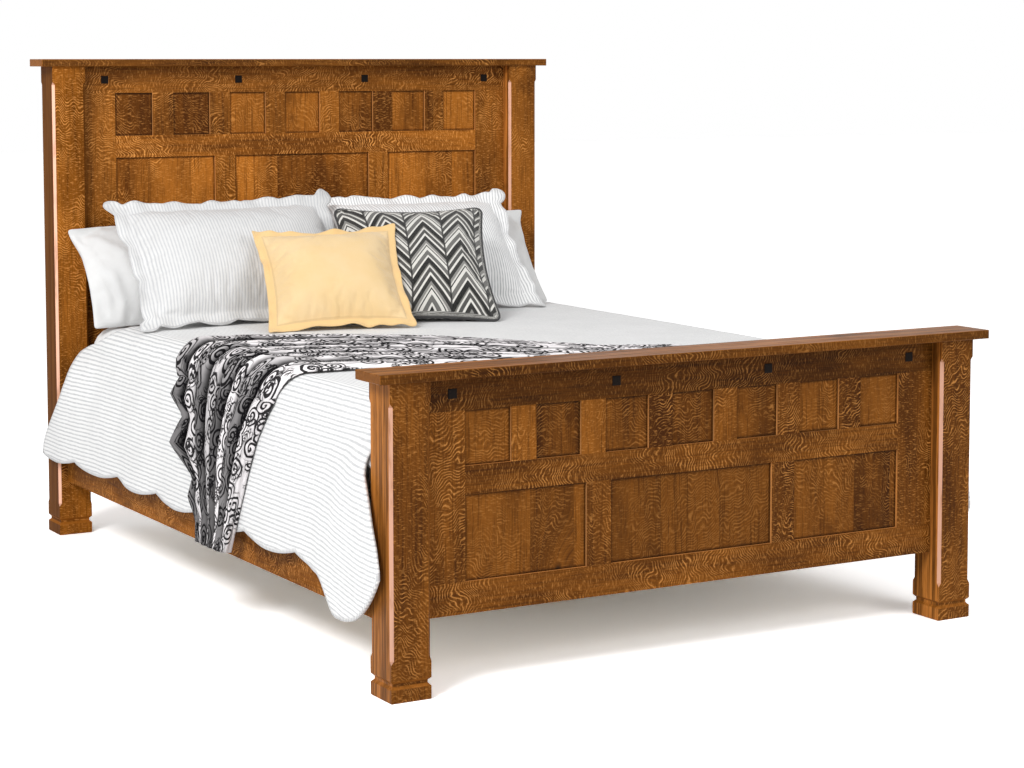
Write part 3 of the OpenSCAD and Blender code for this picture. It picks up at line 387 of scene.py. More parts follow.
def plain_wood(name, along, colour):
    """Planed wood with its grain along one axis"""
    f = Finish(name, Roughness=0.62)
    grain = f.vector(*f.by_grain(along))
    fine = f.stretched(grain, 10.0, 300.0, 2.0, 0.6)
    shade = [c * 0.62 for c in colour]
    base = f.mix(f.step(f.stretched(grain, 1.5, 26.0, 3.0, 0.6), 0.35, 0.65), colour, shade)
    return f.done(f.mix(f.step(fine, 0.55, 0.75, 0.0, 0.3), base, shade), fine, 0.0003, 0.5)


def dark_peg():
    f = Finish("Dark peg", Roughness=0.5, Specular_IOR_Level=0.04)
    grain = f.noise(f.times(f.place(), (300.0, 60.0, 300.0)), 1.0)
    return f.done(f.mix(grain, (0.004, 0.003, 0.003), (0.014, 0.010, 0.008)), grain, 0.0003, 0.5)


def zinc():
    f = Finish("Zinc-plated steel", Metallic=1.0)
    cloud, grit = f.noise(f.place(), 90.0, 3.0), f.noise(f.place(), 700.0)
    base = f.mix(cloud, (0.55, 0.56, 0.58), (0.72, 0.72, 0.70))
    return f.done(base, grit, 0.0001, 0.5, Roughness=f.step(cloud, 0.3, 0.7, 0.28, 0.45))


def weave(f, cut, pitch):
    """Height of a plain weave with that thread pitch"""
    u, v, _ = f.xyz(cut)
    turn = 2 * math.pi / pitch
    return f.math("SINE", u * turn) * f.math("SINE", v * turn)


def cotton(name, colour, shade, crinkle=0.0012, flange=None):
    """Plain woven cotton, darker in soft random patches. flange is a case's (width, height, flange width,
    colour)
    """
    f = Finish(name, Roughness=0.82, Sheen_Weight=0.25, Sheen_Roughness=0.5, Specular_IOR_Level=0.25)
    cut = f.place("UV")
    base = f.mix(f.step(f.noise(cut, 9.0, 3.0, 0.55), 0.25, 0.75), shade, colour)
    if flange:
        width, tall, broad, deeper = flange
        u, v, _ = f.xyz(cut)
        out = f.math("MAXIMUM", abs(u) - (width / 2 - broad), abs(v - tall / 2) - (tall / 2 - broad))
        base = f.mix(f.step(out, 0.0, 0.004), base, deeper)
        # A darker line along the flange's seam: its stitching, and painted shade in the seam
        base = f.mix(f.step(abs(out), 0.0012, 0.0030, 0.30, 0.0), base, [c * 0.55 for c in deeper])
    creased = f.stretched(cut, 38.0, 26.0, 3.0, 0.6)
    return f.done(base, creased * 0.8 + weave(f, cut, 0.0016) * 0.10, crinkle, 0.7)


def striped(name, pitch, width, hem_pitch=0.0, tuft=0.0, ground=1.0):
    """White cotton with fine grey stripes along V, and across it inside a hem that the piece marks"""
    look = bpy.context.scene.bed_cloth
    f = Finish(name, Roughness=0.85, Sheen_Weight=0.2, Sheen_Roughness=0.5, Specular_IOR_Level=0.22)
    cut = f.place("UV")

    def lines(value, apart):
        away = abs(f.math("FRACT", value / apart) - 0.5)
        return f.step(away, 0.5 - 0.66 * width / apart, 0.5 - 0.34 * width / apart)

    stripe = lines(f.xyz(cut)[0] + (f.noise(cut, 22.0) * 0.004 - 0.002), pitch)
    if hem_pitch:
        inside = f.step(f.mark("Hem"), 0.4, 0.6)
        stripe = stripe * (1.0 - inside) + lines(f.mark("Hem run"), hem_pitch) * inside
    patchy = f.step(f.noise(cut, 60.0), 0.25, 0.60, 0.65, 1.0)
    # The white is scaled piece by piece, as painted light and shade
    white = [c * ground for c in look.white]
    plain = f.mix(f.step(f.noise(cut, 7.0, 3.0, 0.55), 0.25, 0.75), [c * 0.92 for c in white], white)
    pucker = f.stretched(cut, 150.0, 60.0, 3.0, 0.6)
    height = pucker * 0.8 + (1.0 - stripe) * (0.25 + tuft)
    return f.done(f.mix(stripe * patchy, plain, look.stripe), height, 0.0016, 0.75)


# Settings that a user may change

def colour_setting(name, description, default):
    return bpy.props.FloatVectorProperty(name=name, description=description, default=default, min=0, max=1,
                                         subtype="COLOR")


def number_setting(name, description, default, low, high, unit="NONE"):
    return bpy.props.FloatProperty(name=name, description=description, default=default, min=low, max=high,
                                   unit=unit)


class BedOak(bpy.types.PropertyGroup):
    dark: colour_setting("Dark grain", "Colour of the darkest grain", (0.042, 0.0120, 0.0014))
    mid: colour_setting("Oak", "Main colour of the stained oak", (0.215, 0.072, 0.0088))
    light: colour_setting("Flecks", "Colour of the ray flecks", (0.520, 0.225, 0.056))
    # Colour of the posts' front-left chamfers: wear, and a painted highlight
    worn: colour_setting("Worn, highlighted edges", "Colour of the posts' worn chamfers", (0.60, 0.34, 0.245))
    fleck_pitch: number_setting("Fleck pitch", "Distance between neighbouring ray flecks", 0.0085, 0.003,
                                0.03, "LENGTH")
    fleck_swirl: number_setting("Fleck swirl", "How far the flecks wander", 64.0, 0, 150)


class BedCloth(bpy.types.PropertyGroup):
    white: colour_setting("White", "Colour of the white cotton", (0.82, 0.82, 0.815))
    stripe: colour_setting("Stripes", "Colour of the stripes", (0.52, 0.525, 0.535))
    quilt_pitch: number_setting("Quilt stripes", "Distance between the quilt's stripes", 0.0112, 0.004, 0.05,
                                "LENGTH")
    sham_pitch: number_setting("Sham stripes", "Distance between the shams' stripes", 0.0096, 0.004, 0.05,
                               "LENGTH")
    yellow: colour_setting("Yellow", "Colour of the front pillow", (0.78, 0.58, 0.325))
    plush: colour_setting("Throw", "Ground colour of the throw", (0.90, 0.86, 0.87))


class BedStage(bpy.types.PropertyGroup):
    sky: number_setting("Sky", "Strength of the even light from all round", 0.60, 0, 3)
    key: number_setting("Key light", "Power of the large lamp", 400.0, 0, 2000, "POWER")
    fill: number_setting("Fill light", "Power of the lamp on the right", 120.0, 0, 2000, "POWER")


# The frame

class BED_OT_finish_frame(bpy.types.Operator):
    """Gives each board, post and fitting of the frame its finish"""
    bl_idname = "bed.finish_frame"
    bl_label = "Finish the frame"

    TONGUE, UPPER_SHOWN, UPPER_PITCH = 0.0085, 0.1211, 0.18806
    # Each part's grain axis, its own number, its tones on the headboard and the footboard, and more. The
    # tones hold the parts' own tone and also painted light and shade: the headboard lighter, the footboard
    # darker, and the foot's top rail darkest, as painted shadow under the cap
    PARTS = {
        "post_left": ("Z", 1, 1.85, 1.02, dict(worn=True, flecks=0.8)),
        "post_right": ("Z", 2, 1.42, 1.0, dict(worn=True, flecks=0.8, side_tone=0.9)),
        "cap": ("X", 3, 0.98, 0.66, {}),
        "top_rail": ("X", 4, 1.30, 0.60, {}),
        "mid_rail": ("X", 5, 2.05, 0.92, dict(lit=0.25)),
        "bottom_rail": ("X", 6, 1.42, 1.0, dict(lit=0.25)),
        "stile_left": ("Z", 7, 1.42, 1.0, dict(lit=0.3)),
        "stile_right": ("Z", 8, 1.42, 1.0, dict(lit=0.3)),
        "upper_muntins": ("Z", 9, 1.42, 1.0, dict(lit=0.45, cells=(UPPER_PITCH, UPPER_PITCH / 2))),
        "lower_muntins": ("Z", 10, 1.42, 1.0, dict(lit=0.45, cells=(0.5, 0.25))),
        "upper_panels": ("Z", 12, 1.55, 0.88, dict(flecks=0.6, cells=(UPPER_PITCH, 0.0))),
        "lower_panel_left": ("Z", 13, 1.95, 0.88, dict(flecks=0.6, boards=0.115)),
        "lower_panel_middle": ("Z", 14, 2.15, 0.66, dict(flecks=0.6, boards=0.15)),
        "lower_panel_right": ("Z", 15, 1.95, 0.86, dict(flecks=0.6, boards=0.13)),
    }
    # The left posts' sawn sides get painted shade, deep on the headboard's, with less gloss there
    LEFT_POST = (dict(side_tone=0.14, gloss=0.008), dict(side_tone=0.80))

    def execute(self, context):
        for k, board in enumerate(("head", "foot")):
            floor, shelf, lintel = (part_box(f"{board}_{rail}_rail") for rail in ("bottom", "mid", "top"))
            for part, (along, number, *tones, more) in self.PARTS.items():
                more = {"flecks": 0.95, **more}
                if part == "post_left":
                    more.update(self.LEFT_POST[k])
                elif part == "upper_panels":
                    half = self.UPPER_SHOWN / 2
                    more["recess"] = (-half, half, shelf[1][2], lintel[0][2], self.UPPER_PITCH)
                elif "lower_panel" in part:
                    left, right = (corner[0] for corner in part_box(f"{board}_{part}"))
                    more["recess"] = (left + self.TONGUE, right - self.TONGUE, floor[1][2], shelf[0][2], 0.0)
                name = f"Oak {board} {part}".replace("_", " ")
                self.coat(oak(name, along, 11.3 * k + number, tones[k], **more), f"{board}_{part}")
            self.coat(dark_peg(), f"{board}_pegs")
        for k, side in enumerate(("left", "right")):
            self.coat(oak(f"Oak {side} side rail", "Y", 31.0 + k, 1.45, gloss=0.008), f"side_rail_{side}")
            self.coat(plain_wood(f"Pine {side} cleat", "Y", (0.52, 0.36, 0.19)), f"cleat_{side}")
        self.coat(plain_wood("Pine slats", "X", (0.55, 0.39, 0.21)), *(f"slat_{k}" for k in range(1, 6)))
        self.coat(plain_wood("Pine legs", "Z", (0.50, 0.35, 0.18)), *(f"centre_leg_{k}" for k in range(1, 4)))
        self.coat(plain_wood("Beech dowels", "Z", (0.60, 0.42, 0.26)), "cap_dowels")
        self.coat(zinc(), "rail_hook_plates", "post_plates", "plate_screws", "cleat_screws", "slat_screws")
        return {"FINISHED"}

    @staticmethod
    def coat(material, *nodes):
        for node in nodes:
            mesh = NODES[node].data
            mesh.materials.clear()
            mesh.materials.append(material)


# The mattress set

def rounded_slab(low, high, corner, top_edge, low_edge):
    """A slab with rounded corners, a rounded top edge and a rounded bottom edge"""
    bm = bmesh.new()
    bmesh.ops.create_cube(bm, size=1.0)
    bmesh.ops.scale(bm, vec=high - low, verts=bm.verts)
    bmesh.ops.translate(bm, vec=(high + low) / 2, verts=bm.verts)
    upright = [e for e in bm.edges if abs(e.verts[0].co.z - e.verts[1].co.z) > 0.01]
    bmesh.ops.bevel(bm, geom=upright, offset=corner, offset_type="OFFSET", segments=8, profile=0.5,
                    affect="EDGES", material=-1)
    for z, radius in ((high.z, top_edge), (low.z, low_edge)):
        rim = [e for e in bm.edges if all(abs(v.co.z - z) < 1e-4 for v in e.verts) and len(e.link_faces) == 2
               and any(abs(f.normal.z) < 0.5 for f in e.link_faces)]
        bmesh.ops.bevel(bm, geom=rim, offset=radius, offset_type="OFFSET", segments=5, profile=0.5,
                        affect="EDGES", material=-1, clamp_overlap=True)
    return bm


def crown(bm):
    """Raises the middle of a slab's top"""
    flat = [f for f in bm.faces if f.normal.z > 0.99 and f.calc_area() > 0.5]
    bmesh.ops.inset_region(bm, faces=flat, thickness=CROWN_INSET - MATTRESS_EDGE, depth=CROWN)


def ticking():
    f = Finish("Woven ticking", Roughness=0.8, Sheen_Weight=0.15, Specular_IOR_Level=0.25)
    place = f.place()
    x, y, z = f.xyz(place)
    turn = 2 * math.pi / 0.055
    quilting = f.math("SINE", (x + y) * turn) * f.math("SINE", (x - y + z) * turn)
    tone = f.noise(place, 260.0)
    return f.done(f.mix(tone, (0.74, 0.73, 0.69), (0.85, 0.84, 0.80)), abs(quilting) + tone * 0.2, 0.003, 0.6)


class BED_OT_mattress_set(bpy.types.Operator):
    """Makes the foundation, the mattress and the fitted sheet"""
    bl_idname = "bed.mattress_set"
    bl_label = "Mattress, foundation and fitted sheet"

    SHEET_FOOT = 0.0158

    def execute(self, context):
        cloth = ticking()
        low = Vector((-HALF_WIDTH, BED_Y - HALF_LENGTH, FOUNDATION_Z + GAP))
        high = Vector((HALF_WIDTH, BED_Y + HALF_LENGTH, FOUNDATION_TOP - GAP))
        bm = rounded_slab(low, high, 0.060, 0.012, 0.008)
        base = add_object("foundation_cover", bm, "bedding", cloth)
        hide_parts("foundation")

        low.z, high.z = FOUNDATION_TOP + GAP / 2, MATTRESS_TOP
        bm = rounded_slab(low, high, MATTRESS_CORNER, MATTRESS_EDGE, 0.016)
        crown(bm)
        pad = add_object("mattress_cover", bm, "bedding", cloth)
        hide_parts("mattress")

        grow = GAP + 0.0001
        low += Vector((-grow, -grow, self.SHEET_FOOT))
        high += Vector((grow, grow, grow))
        bm = rounded_slab(low, high, MATTRESS_CORNER + grow, MATTRESS_EDGE + grow, 0.0004)
        crown(bm)
        floor = [f for f in bm.faces if f.calc_center_median().z < FOUNDATION_TOP + self.SHEET_FOOT + 0.001]
        bmesh.ops.delete(bm, geom=floor, context="FACES")
        cut = bm.loops.layers.uv.new("Cut")
        for face in bm.faces:
            for loop in face.loops:
                at = loop.vert.co
                loop[cut].uv = (at.x + (at.z if abs(face.normal.y) < 0.5 else 0), at.y + at.z)
        white = context.scene.bed_cloth.white
        sheet = add_object("bed_sheet", bm, "bedding",
                           cotton("White sheet", white, [c * 0.94 for c in white]))
        modifier(sheet, "SOLIDIFY", thickness=0.0009, offset=1.0)
        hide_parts("fitted_sheet")
        return {"FINISHED"}


# The quilt

EAR_SAG, EAR_SPAN = 0.024, 0.300
DROP, ROWS, FOOT_ROWS = 0.340, 31, 4
FLAT_SHARE, BEND_SHARE = 0.615, 0.700
FRONT_LINE = [(0, FOOT_CORE - QUILT_EDGE), (0.040, 0.123), (0.068, 0.112), (0.078, 0.107), (0.096, 0.092),
              (0.130, 0.074), (0.166, 0.060), (0.200, 0.048), (0.236, 0.036), (0.280, EAR_V)]
REAR_LINE = [(0, -0.106), (0.015, -0.080), (0.100, -0.070), (0.145, -0.056), (0.180, -0.032), (0.220, 0.004),
             (0.260, 0.040), (0.300, 0.066), (0.340, 0.078)]


def ear(v):
    """1 beside the posts, where the drop hangs off its line, and 0 between them"""
    return max(smooth((0.420 - v) / EAR_SPAN), smooth((v - HEAD_LINE + 0.335) / EAR_SPAN))


def reach(h, v):
    """How far out the drop hangs at h below its bend"""
    e = ear(v)
    wave = 0.5 - 0.5 * math.cos(2 * math.pi * (v - SCALLOP_V) / SCALLOP_L)
    slack = mix(SIDE_SLACK, POST_SLACK + 16 * smooth((0.3 - v) / 0.2), e)
    return QUILT_REACH * (1 - math.exp(-h * slack)) + SIDE_WAVE * (1 - e) * smooth(h / 0.250) * wave


def drape(s, v):
    """The quilt's inside, s across the bed and v behind the front of the footboard posts"""
    q, side = abs(s), math.copysign(1, s)
    h = q - CORE - BEND
    if q <= CORE:
        return Vector((s, v, QUILT_Z + QUILT_CROWN * (1 - (s / CORE) ** 2)))
    if h <= 0:
        a = (q - CORE) / QUILT_EDGE
        return Vector((side * (CORE + QUILT_EDGE * math.sin(a)), v, QUILT_Z - QUILT_EDGE * (1 - math.cos(a))))
    return Vector((side * (CORE + QUILT_EDGE + reach(h, v)), v, HANG_Z - h))


def quilt_t(s):
    return mix(QUILT_TOP_T, QUILT_SIDE_T, smooth((abs(s) - CORE) / BEND))


def hem(v):
    """Height of the lower edge: rounded scallops, and a tip that reaches down by the footboard"""
    tip_end = 0.350
    if v > tip_end:
        return SCALLOP_TOP - SCALLOP_DEEP * abs(math.sin(math.pi * (v - SCALLOP_V) / SCALLOP_L)) ** 0.8
    if v > TIP_V:
        return mix(TIP_Z, SCALLOP_TOP - SCALLOP_DEEP, smooth((v - TIP_V) / (tip_end - TIP_V)))
    return mix(TIP_Z, EAR_Z - EAR_SAG, ((TIP_V - v) / (TIP_V - EAR_V)) ** 2.8)


def rear_v(h):
    """Where the drop ends by the headboard, which it passes in front of and then beside"""
    return HEAD_LINE + lookup(h, REAR_LINE)


def foot_roll(j):
    """How far the quilt has turned down at the foot, in radians"""
    return math.pi / 2 * min(1, max(0, (FOOT_ROWS - j) / 3))


def along_side(j, h, flat, rear):
    """Row j's place along the bed; the drop starts behind the footboard's post and then beside it"""
    start = mix(TIP_V, FOOT_CORE, flat)
    if j >= FOOT_ROWS:
        return mix(start, rear, (j - FOOT_ROWS) / (ROWS - FOOT_ROWS))
    front = mix(lookup(h, FRONT_LINE), start, j / FOOT_ROWS)
    return mix(front, FOOT_CORE - QUILT_EDGE * math.sin(foot_roll(j)), flat)


def quilt_place(a, b):
    """A point on the quilt's inside, with its flat place; a runs from the left hem to the right one, b from
    foot to head"""
    c = 2 * a - 1
    side, q = math.copysign(1, c), abs(c)
    j = ROWS * b
    h, bent = 0.0, 0.0
    if q <= FLAT_SHARE:
        s = CORE * q / FLAT_SHARE
    elif q <= BEND_SHARE:
        bent = (q - FLAT_SHARE) / (BEND_SHARE - FLAT_SHARE)
        s = CORE + BEND * bent
    else:
        part = (q - BEND_SHARE) / (1 - BEND_SHARE)
        bent, h = 1.0, part * DROP
        for _ in range(3):
            h = part * (HANG_Z - hem(along_side(j, h, 0, rear_v(h))))
        s = CORE + BEND + h
    flat = 0.0 if h > 0 else math.cos(bent * math.pi / 2)
    rear = rear_v(h) if h > 0 else HEAD_LINE - mix(HEAD_END_GAP, HEAD_SIDE_GAP, bent ** 2)
    v = along_side(j, h, flat, rear)
    sink = flat * QUILT_EDGE * (1 - math.cos(foot_roll(j))) + flat ** 0.25 * FOOT_TUCK * max(0, 1 - j)
    at = drape(side * s, v) - Vector((0, 0, sink))
    if h == 0 and at.z < HANG_Z:
        # The tucked end widens to the drop's front edge, so that the corner stays closed
        at.x += side * 0.85 * reach(HANG_Z - at.z, v) * smooth((bent - 0.3) / 0.5)
    return at, side * s, v, h


class BED_OT_quilt(bpy.types.Operator):
    """Lays the striped quilt, which hangs over both sides and is tucked in at the foot"""
    bl_idname = "bed.quilt"
    bl_label = "Striped quilt"

    ACROSS, ALONG, FILLING = 190, 168, 0.009

    def execute(self, context):
        bm = cloth_grid(self.ACROSS, self.ALONG, self.place, self.flat)
        bm.normal_update()
        marks, runs = (bm.verts.layers.float.new(name) for name in ("Hem", "Hem run"))
        moved = []
        for vert in bm.verts:
            at, normal = vert.co, vert.normal
            if normal.z < -0.2:
                normal = -normal
            s, v, h, vert[marks] = self.facts(at)
            vert[runs] = v
            hung = smooth(h / 0.15)
            soft = (0.0022 * bumpy(at, 0.16, 1.0) + 0.0014 * bumpy(at, 0.06, 5.0)) * (0.4 + 0.6 * hung)
            soft += 0.0034 * hung * bumpy((at.y, at.z * 0.28, 0.0), 0.075, 2.0)
            moved.append((vert, at + normal * (quilt_t(s) + soft - 0.0005)))
        for vert, to in moved:
            vert.co = to
        pitch = context.scene.bed_cloth.quilt_pitch
        cloth = striped("Quilt cotton", pitch, 0.0042, hem_pitch=0.008, tuft=0.2)
        piece = add_object("striped_quilt", bm, "bedding", cloth)
        modifier(piece, "SOLIDIFY", thickness=self.FILLING, offset=-1.0, use_rim=True)
        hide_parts("quilt")
        return {"FINISHED"}

    @staticmethod
    def ease(b):
        """Closer rows at the foot, where the quilt turns down"""
        return b * (0.62 + 0.38 * b)

    def place(self, a, b):
        return quilt_place(a, self.ease(b))[0] + Vector((0, FOOT_FACE, 0))

    def flat(self, a, b):
        _, s, v, h = quilt_place(a, self.ease(b))
        sag = 0.030 * smooth((0.34 - v) / 0.30) * smooth((h - 0.03) / 0.26)
        return s - math.copysign(sag, s), v

    @staticmethod
    def facts(at):
        """Where a point lies: s, v, how far it hangs, and 1 inside the bound hem"""
        v = at.y - FOOT_FACE
        h = max(0.0, HANG_Z - at.z) if abs(at.x) > CORE + QUILT_EDGE - 1e-4 else 0.0
        s = abs(at.x) if h == 0 else CORE + BEND + h
        low = at.z - hem(v) if h > 0.02 else 1.0
        return s, v, h, 1.0 - smooth((low - 0.008) / 0.006)


# The throw: its near and far edges and the jags of the far one, across the bed from the hem

THROW_NEAR = [(THROW_HEM, 0.860), (-1.120, 0.840), (-1.015, 0.812), (-0.895, 0.784), (-0.820, 0.752),
              (-0.760, 0.712), (-0.700, 0.682), (-0.600, 0.662), (-0.500, 0.625), (-0.015, 0.330),
              (THROW_END, 0.160)]
THROW_FAR = [(THROW_HEM, 1.020), (-1.120, 1.030), (-1.020, 1.100), (-0.900, 1.215), (-0.800, 1.310),
             (-0.710, 1.385), (-0.600, 1.400), (-0.367, 1.250), (-0.193, 1.100), (-0.015, 0.833),
             (0.112, 0.633), (THROW_END, 0.560)]
THROW_JAGS = [(-1.140, 0.0), (-1.085, 0.045), (-1.030, -0.020), (-0.965, 0.095), (-0.890, -0.025),
              (-0.850, 0.050), (-0.800, -0.020), (-0.770, 0.015), (-0.740, 0.0)]


def plush(colour):
    """Grey plush with dark scrolls round scattered middles"""
    f = Finish("Throw plush", Roughness=0.9, Sheen_Weight=0.01, Sheen_Roughness=0.4, Specular_IOR_Level=0.02)
    cut = f.place("UV")
    warp = f.add(f.noise(cut, 14.0, out="Color"), (-0.5, -0.5, -0.5))
    loose = f.add(cut, f.times(warp, (0.026, 0.026, 0.0)))

    def scrolls(size, turns, seed, limit):
        grid = f.add(loose, (seed, seed * 0.7, 0.0))
        spin, middle = f.node("TexVoronoi", out=("Color", "Position"), voronoi_dimensions="2D",
                              named=dict(Vector=grid, Scale=1.0 / size))
        away = f.node("VectorMath", grid, middle, operation="SUBTRACT")
        dx, dy, _ = f.xyz(away)
        far = f.node("VectorMath", away, out="Value", operation="LENGTH")
        angle = f.math("ARCTAN2", dy, dx) / (2 * math.pi)
        turned = far * turns + (angle + f.node("SeparateColor", spin))
        ring = abs(f.math("FRACT", turned) - 0.5)
        return f.step(ring, 0.19, 0.28, 1.0, 0.0) * f.step(far, limit * 0.82, limit, 1.0, 0.0)

    large, small = scrolls(0.060, 74.0, 0.0, 0.034), scrolls(0.030, 120.0, 3.3, 0.015)
    leaf = f.step(abs(f.noise(f.times(loose, (1.0, 1.7, 1.0)), 44.0, 1.0) - 0.5), 0.020, 0.045, 1.0, 0.0)
    gaps = f.step(f.noise(cut, 16.0, 1.0), 0.48, 0.56)
    drawn = f.math("MAXIMUM", large, f.math("MAXIMUM", small, leaf) * gaps)
    nap = f.noise(cut, 30.0, 3.0, 0.6) * 0.60 + 0.70
    # Painted light and shade from the points' mark: near black in the folds' valleys, the plush's colour on
    # lit crests
    lit = f.math("MULTIPLY", f.mark("Fold light"), nap, clamp=True)
    ground = f.mix(lit, [c * 0.015 for c in colour], colour)
    height = f.noise(cut, 420.0) + drawn * -0.8
    return f.done(f.mix(drawn * 0.97, ground, (0.004, 0.0036, 0.0045)), height, 0.0016, 0.8)


class BED_OT_throw(bpy.types.Operator):
    """Drops the patterned throw in folds over the left side of the bed"""
    bl_idname = "bed.throw"
    bl_label = "Patterned throw"

    FOLDS, ACROSS, ALONG, EASE, OFF_QUILT = 8, 128, 380, 1.02, 0.0045
    # How tall each fold is, and how light it is painted, as painted light and shade
    LOOKS = ((0.80, 0.86), (1.00, 0.22), (0.82, 0.95), (1.00, 0.12), (0.80, 0.60), (1.00, 0.16),
             (0.85, 0.80), (0.95, 0.20))

    def execute(self, context):
        long = (THROW_END - THROW_HEM) * self.EASE
        fold_light = {}

        def place(a, b):
            at, shade = self.point(mix(THROW_HEM, THROW_END, a), b)
            fold_light[round(a * self.ACROSS), round(b * self.ALONG)] = shade
            return at

        bm = cloth_grid(self.ACROSS, self.ALONG, place, lambda a, b: (long * a, self.EASE * b))
        # The points carry painted light and shade for the throw's colour
        tone = bm.verts.layers.float.new("Fold light")
        cut = bm.loops.layers.uv.active
        for face in bm.faces:
            for loop in face.loops:
                u, v = loop[cut].uv
                loop.vert[tone] = fold_light[round(u / long * self.ACROSS), round(v / self.EASE * self.ALONG)]
        cloth = plush(context.scene.bed_cloth.plush)
        piece = add_object("patterned_throw", bm, "bedding", cloth)
        modifier(piece, "SOLIDIFY", thickness=0.004, offset=1.0)
        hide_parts("throw")
        return {"FINISHED"}

    def point(self, s, b):
        """A point of the throw's underside, and its painted light and shade there, from 0, dark, to 1, light
        """
        hang = smooth((-s - 0.62) / 0.22)
        wander = mix(0.30, 0.16, hang) * bumpy((s * 0.6, b, 0.3), 0.20, 3.0)
        wander += 0.10 * math.sin(4.0 * s + 5.0 * b) * (1 - hang)
        part = self.FOLDS * (b + wander * b * (1 - b))
        within = part % 1.0
        chance, light = self.LOOKS[min(len(self.LOOKS) - 1, max(0, math.floor(part)))]
        rise = math.sin(math.pi * within) ** mix(0.90, 0.62, hang)
        tall = mix(0.0135, 0.035, hang) * chance * mix(1.0, 0.80, smooth((-s - 0.95) / 0.2))
        ends = smooth(b / 0.03) * smooth((1 - b) / 0.03)
        lean = mix(0.003, 0.009, hang) * math.sin(2 * math.pi * within) * ends
        v = mix(lookup(s, THROW_NEAR), lookup(s, THROW_FAR), b) - lean
        v += lookup(s, THROW_JAGS) * smooth((b - 0.70) / 0.25)
        height = max(0.0, tall * rise + 0.0015 * bumpy((s, v, 0), 0.03, 9.0))
        out = quilt_t(s) + self.OFF_QUILT + height
        at = drape(s, v) + self.normal(s, v) * out + Vector((0, FOOT_FACE, 0))
        # Painted light and shade: near black in each fold's valley, light on its crest and along the near
        # hem, and on the drop each fold lighter or darker
        rim = smooth((0.050 - b) / 0.025)
        crest = max(rim, smooth((within - 0.15) / 0.28) * smooth((0.90 - within) / 0.22))
        flat = max(rim, smooth((within - 0.12) / 0.32) * smooth((0.97 - within) / 0.18))
        return at, mix(mix(0.03, 1.15, flat) * mix(1.0, light, 0.12), crest * light, hang)

    @staticmethod
    def normal(s, v):
        e = 0.004
        across, along = drape(s + e, v) - drape(s - e, v), drape(s, v + e) - drape(s, v - e)
        return across.cross(along).normalized()


# The pillows

def stance(yaw, lean, roll=0.0):
    """A pillow's turn from degrees, whose columns point to its right, out of its back and up its slope"""
    yaw, lean, roll = (math.radians(-d) for d in (yaw, lean, roll))
    return Matrix.Rotation(yaw, 3, "Z") @ Matrix.Rotation(lean, 3, "X") @ Matrix.Rotation(roll, 3, "Y")


def swell(t):
    return (1 - min(1, abs(t)) ** 2.5) ** 0.6


def scallop(count, t):
    """How far a flange with that many scallops reaches out, at t from -1 to 1 along its side"""
    return 0.70 + 0.30 * abs(math.sin(math.pi * count * (t + 1) / 2)) ** 0.6


def quilt_rest(x):
    return QUILT_Z + QUILT_TOP_T + QUILT_CROWN * lookup(abs(x) / CORE, [(0, 1), (0.5, 0.75), (1, 0)])


def on_quilt(x, y):
    return Vector((x, y, QUILT_Z + QUILT_CROWN * (1 - (x / CORE) ** 2) + QUILT_TOP_T))


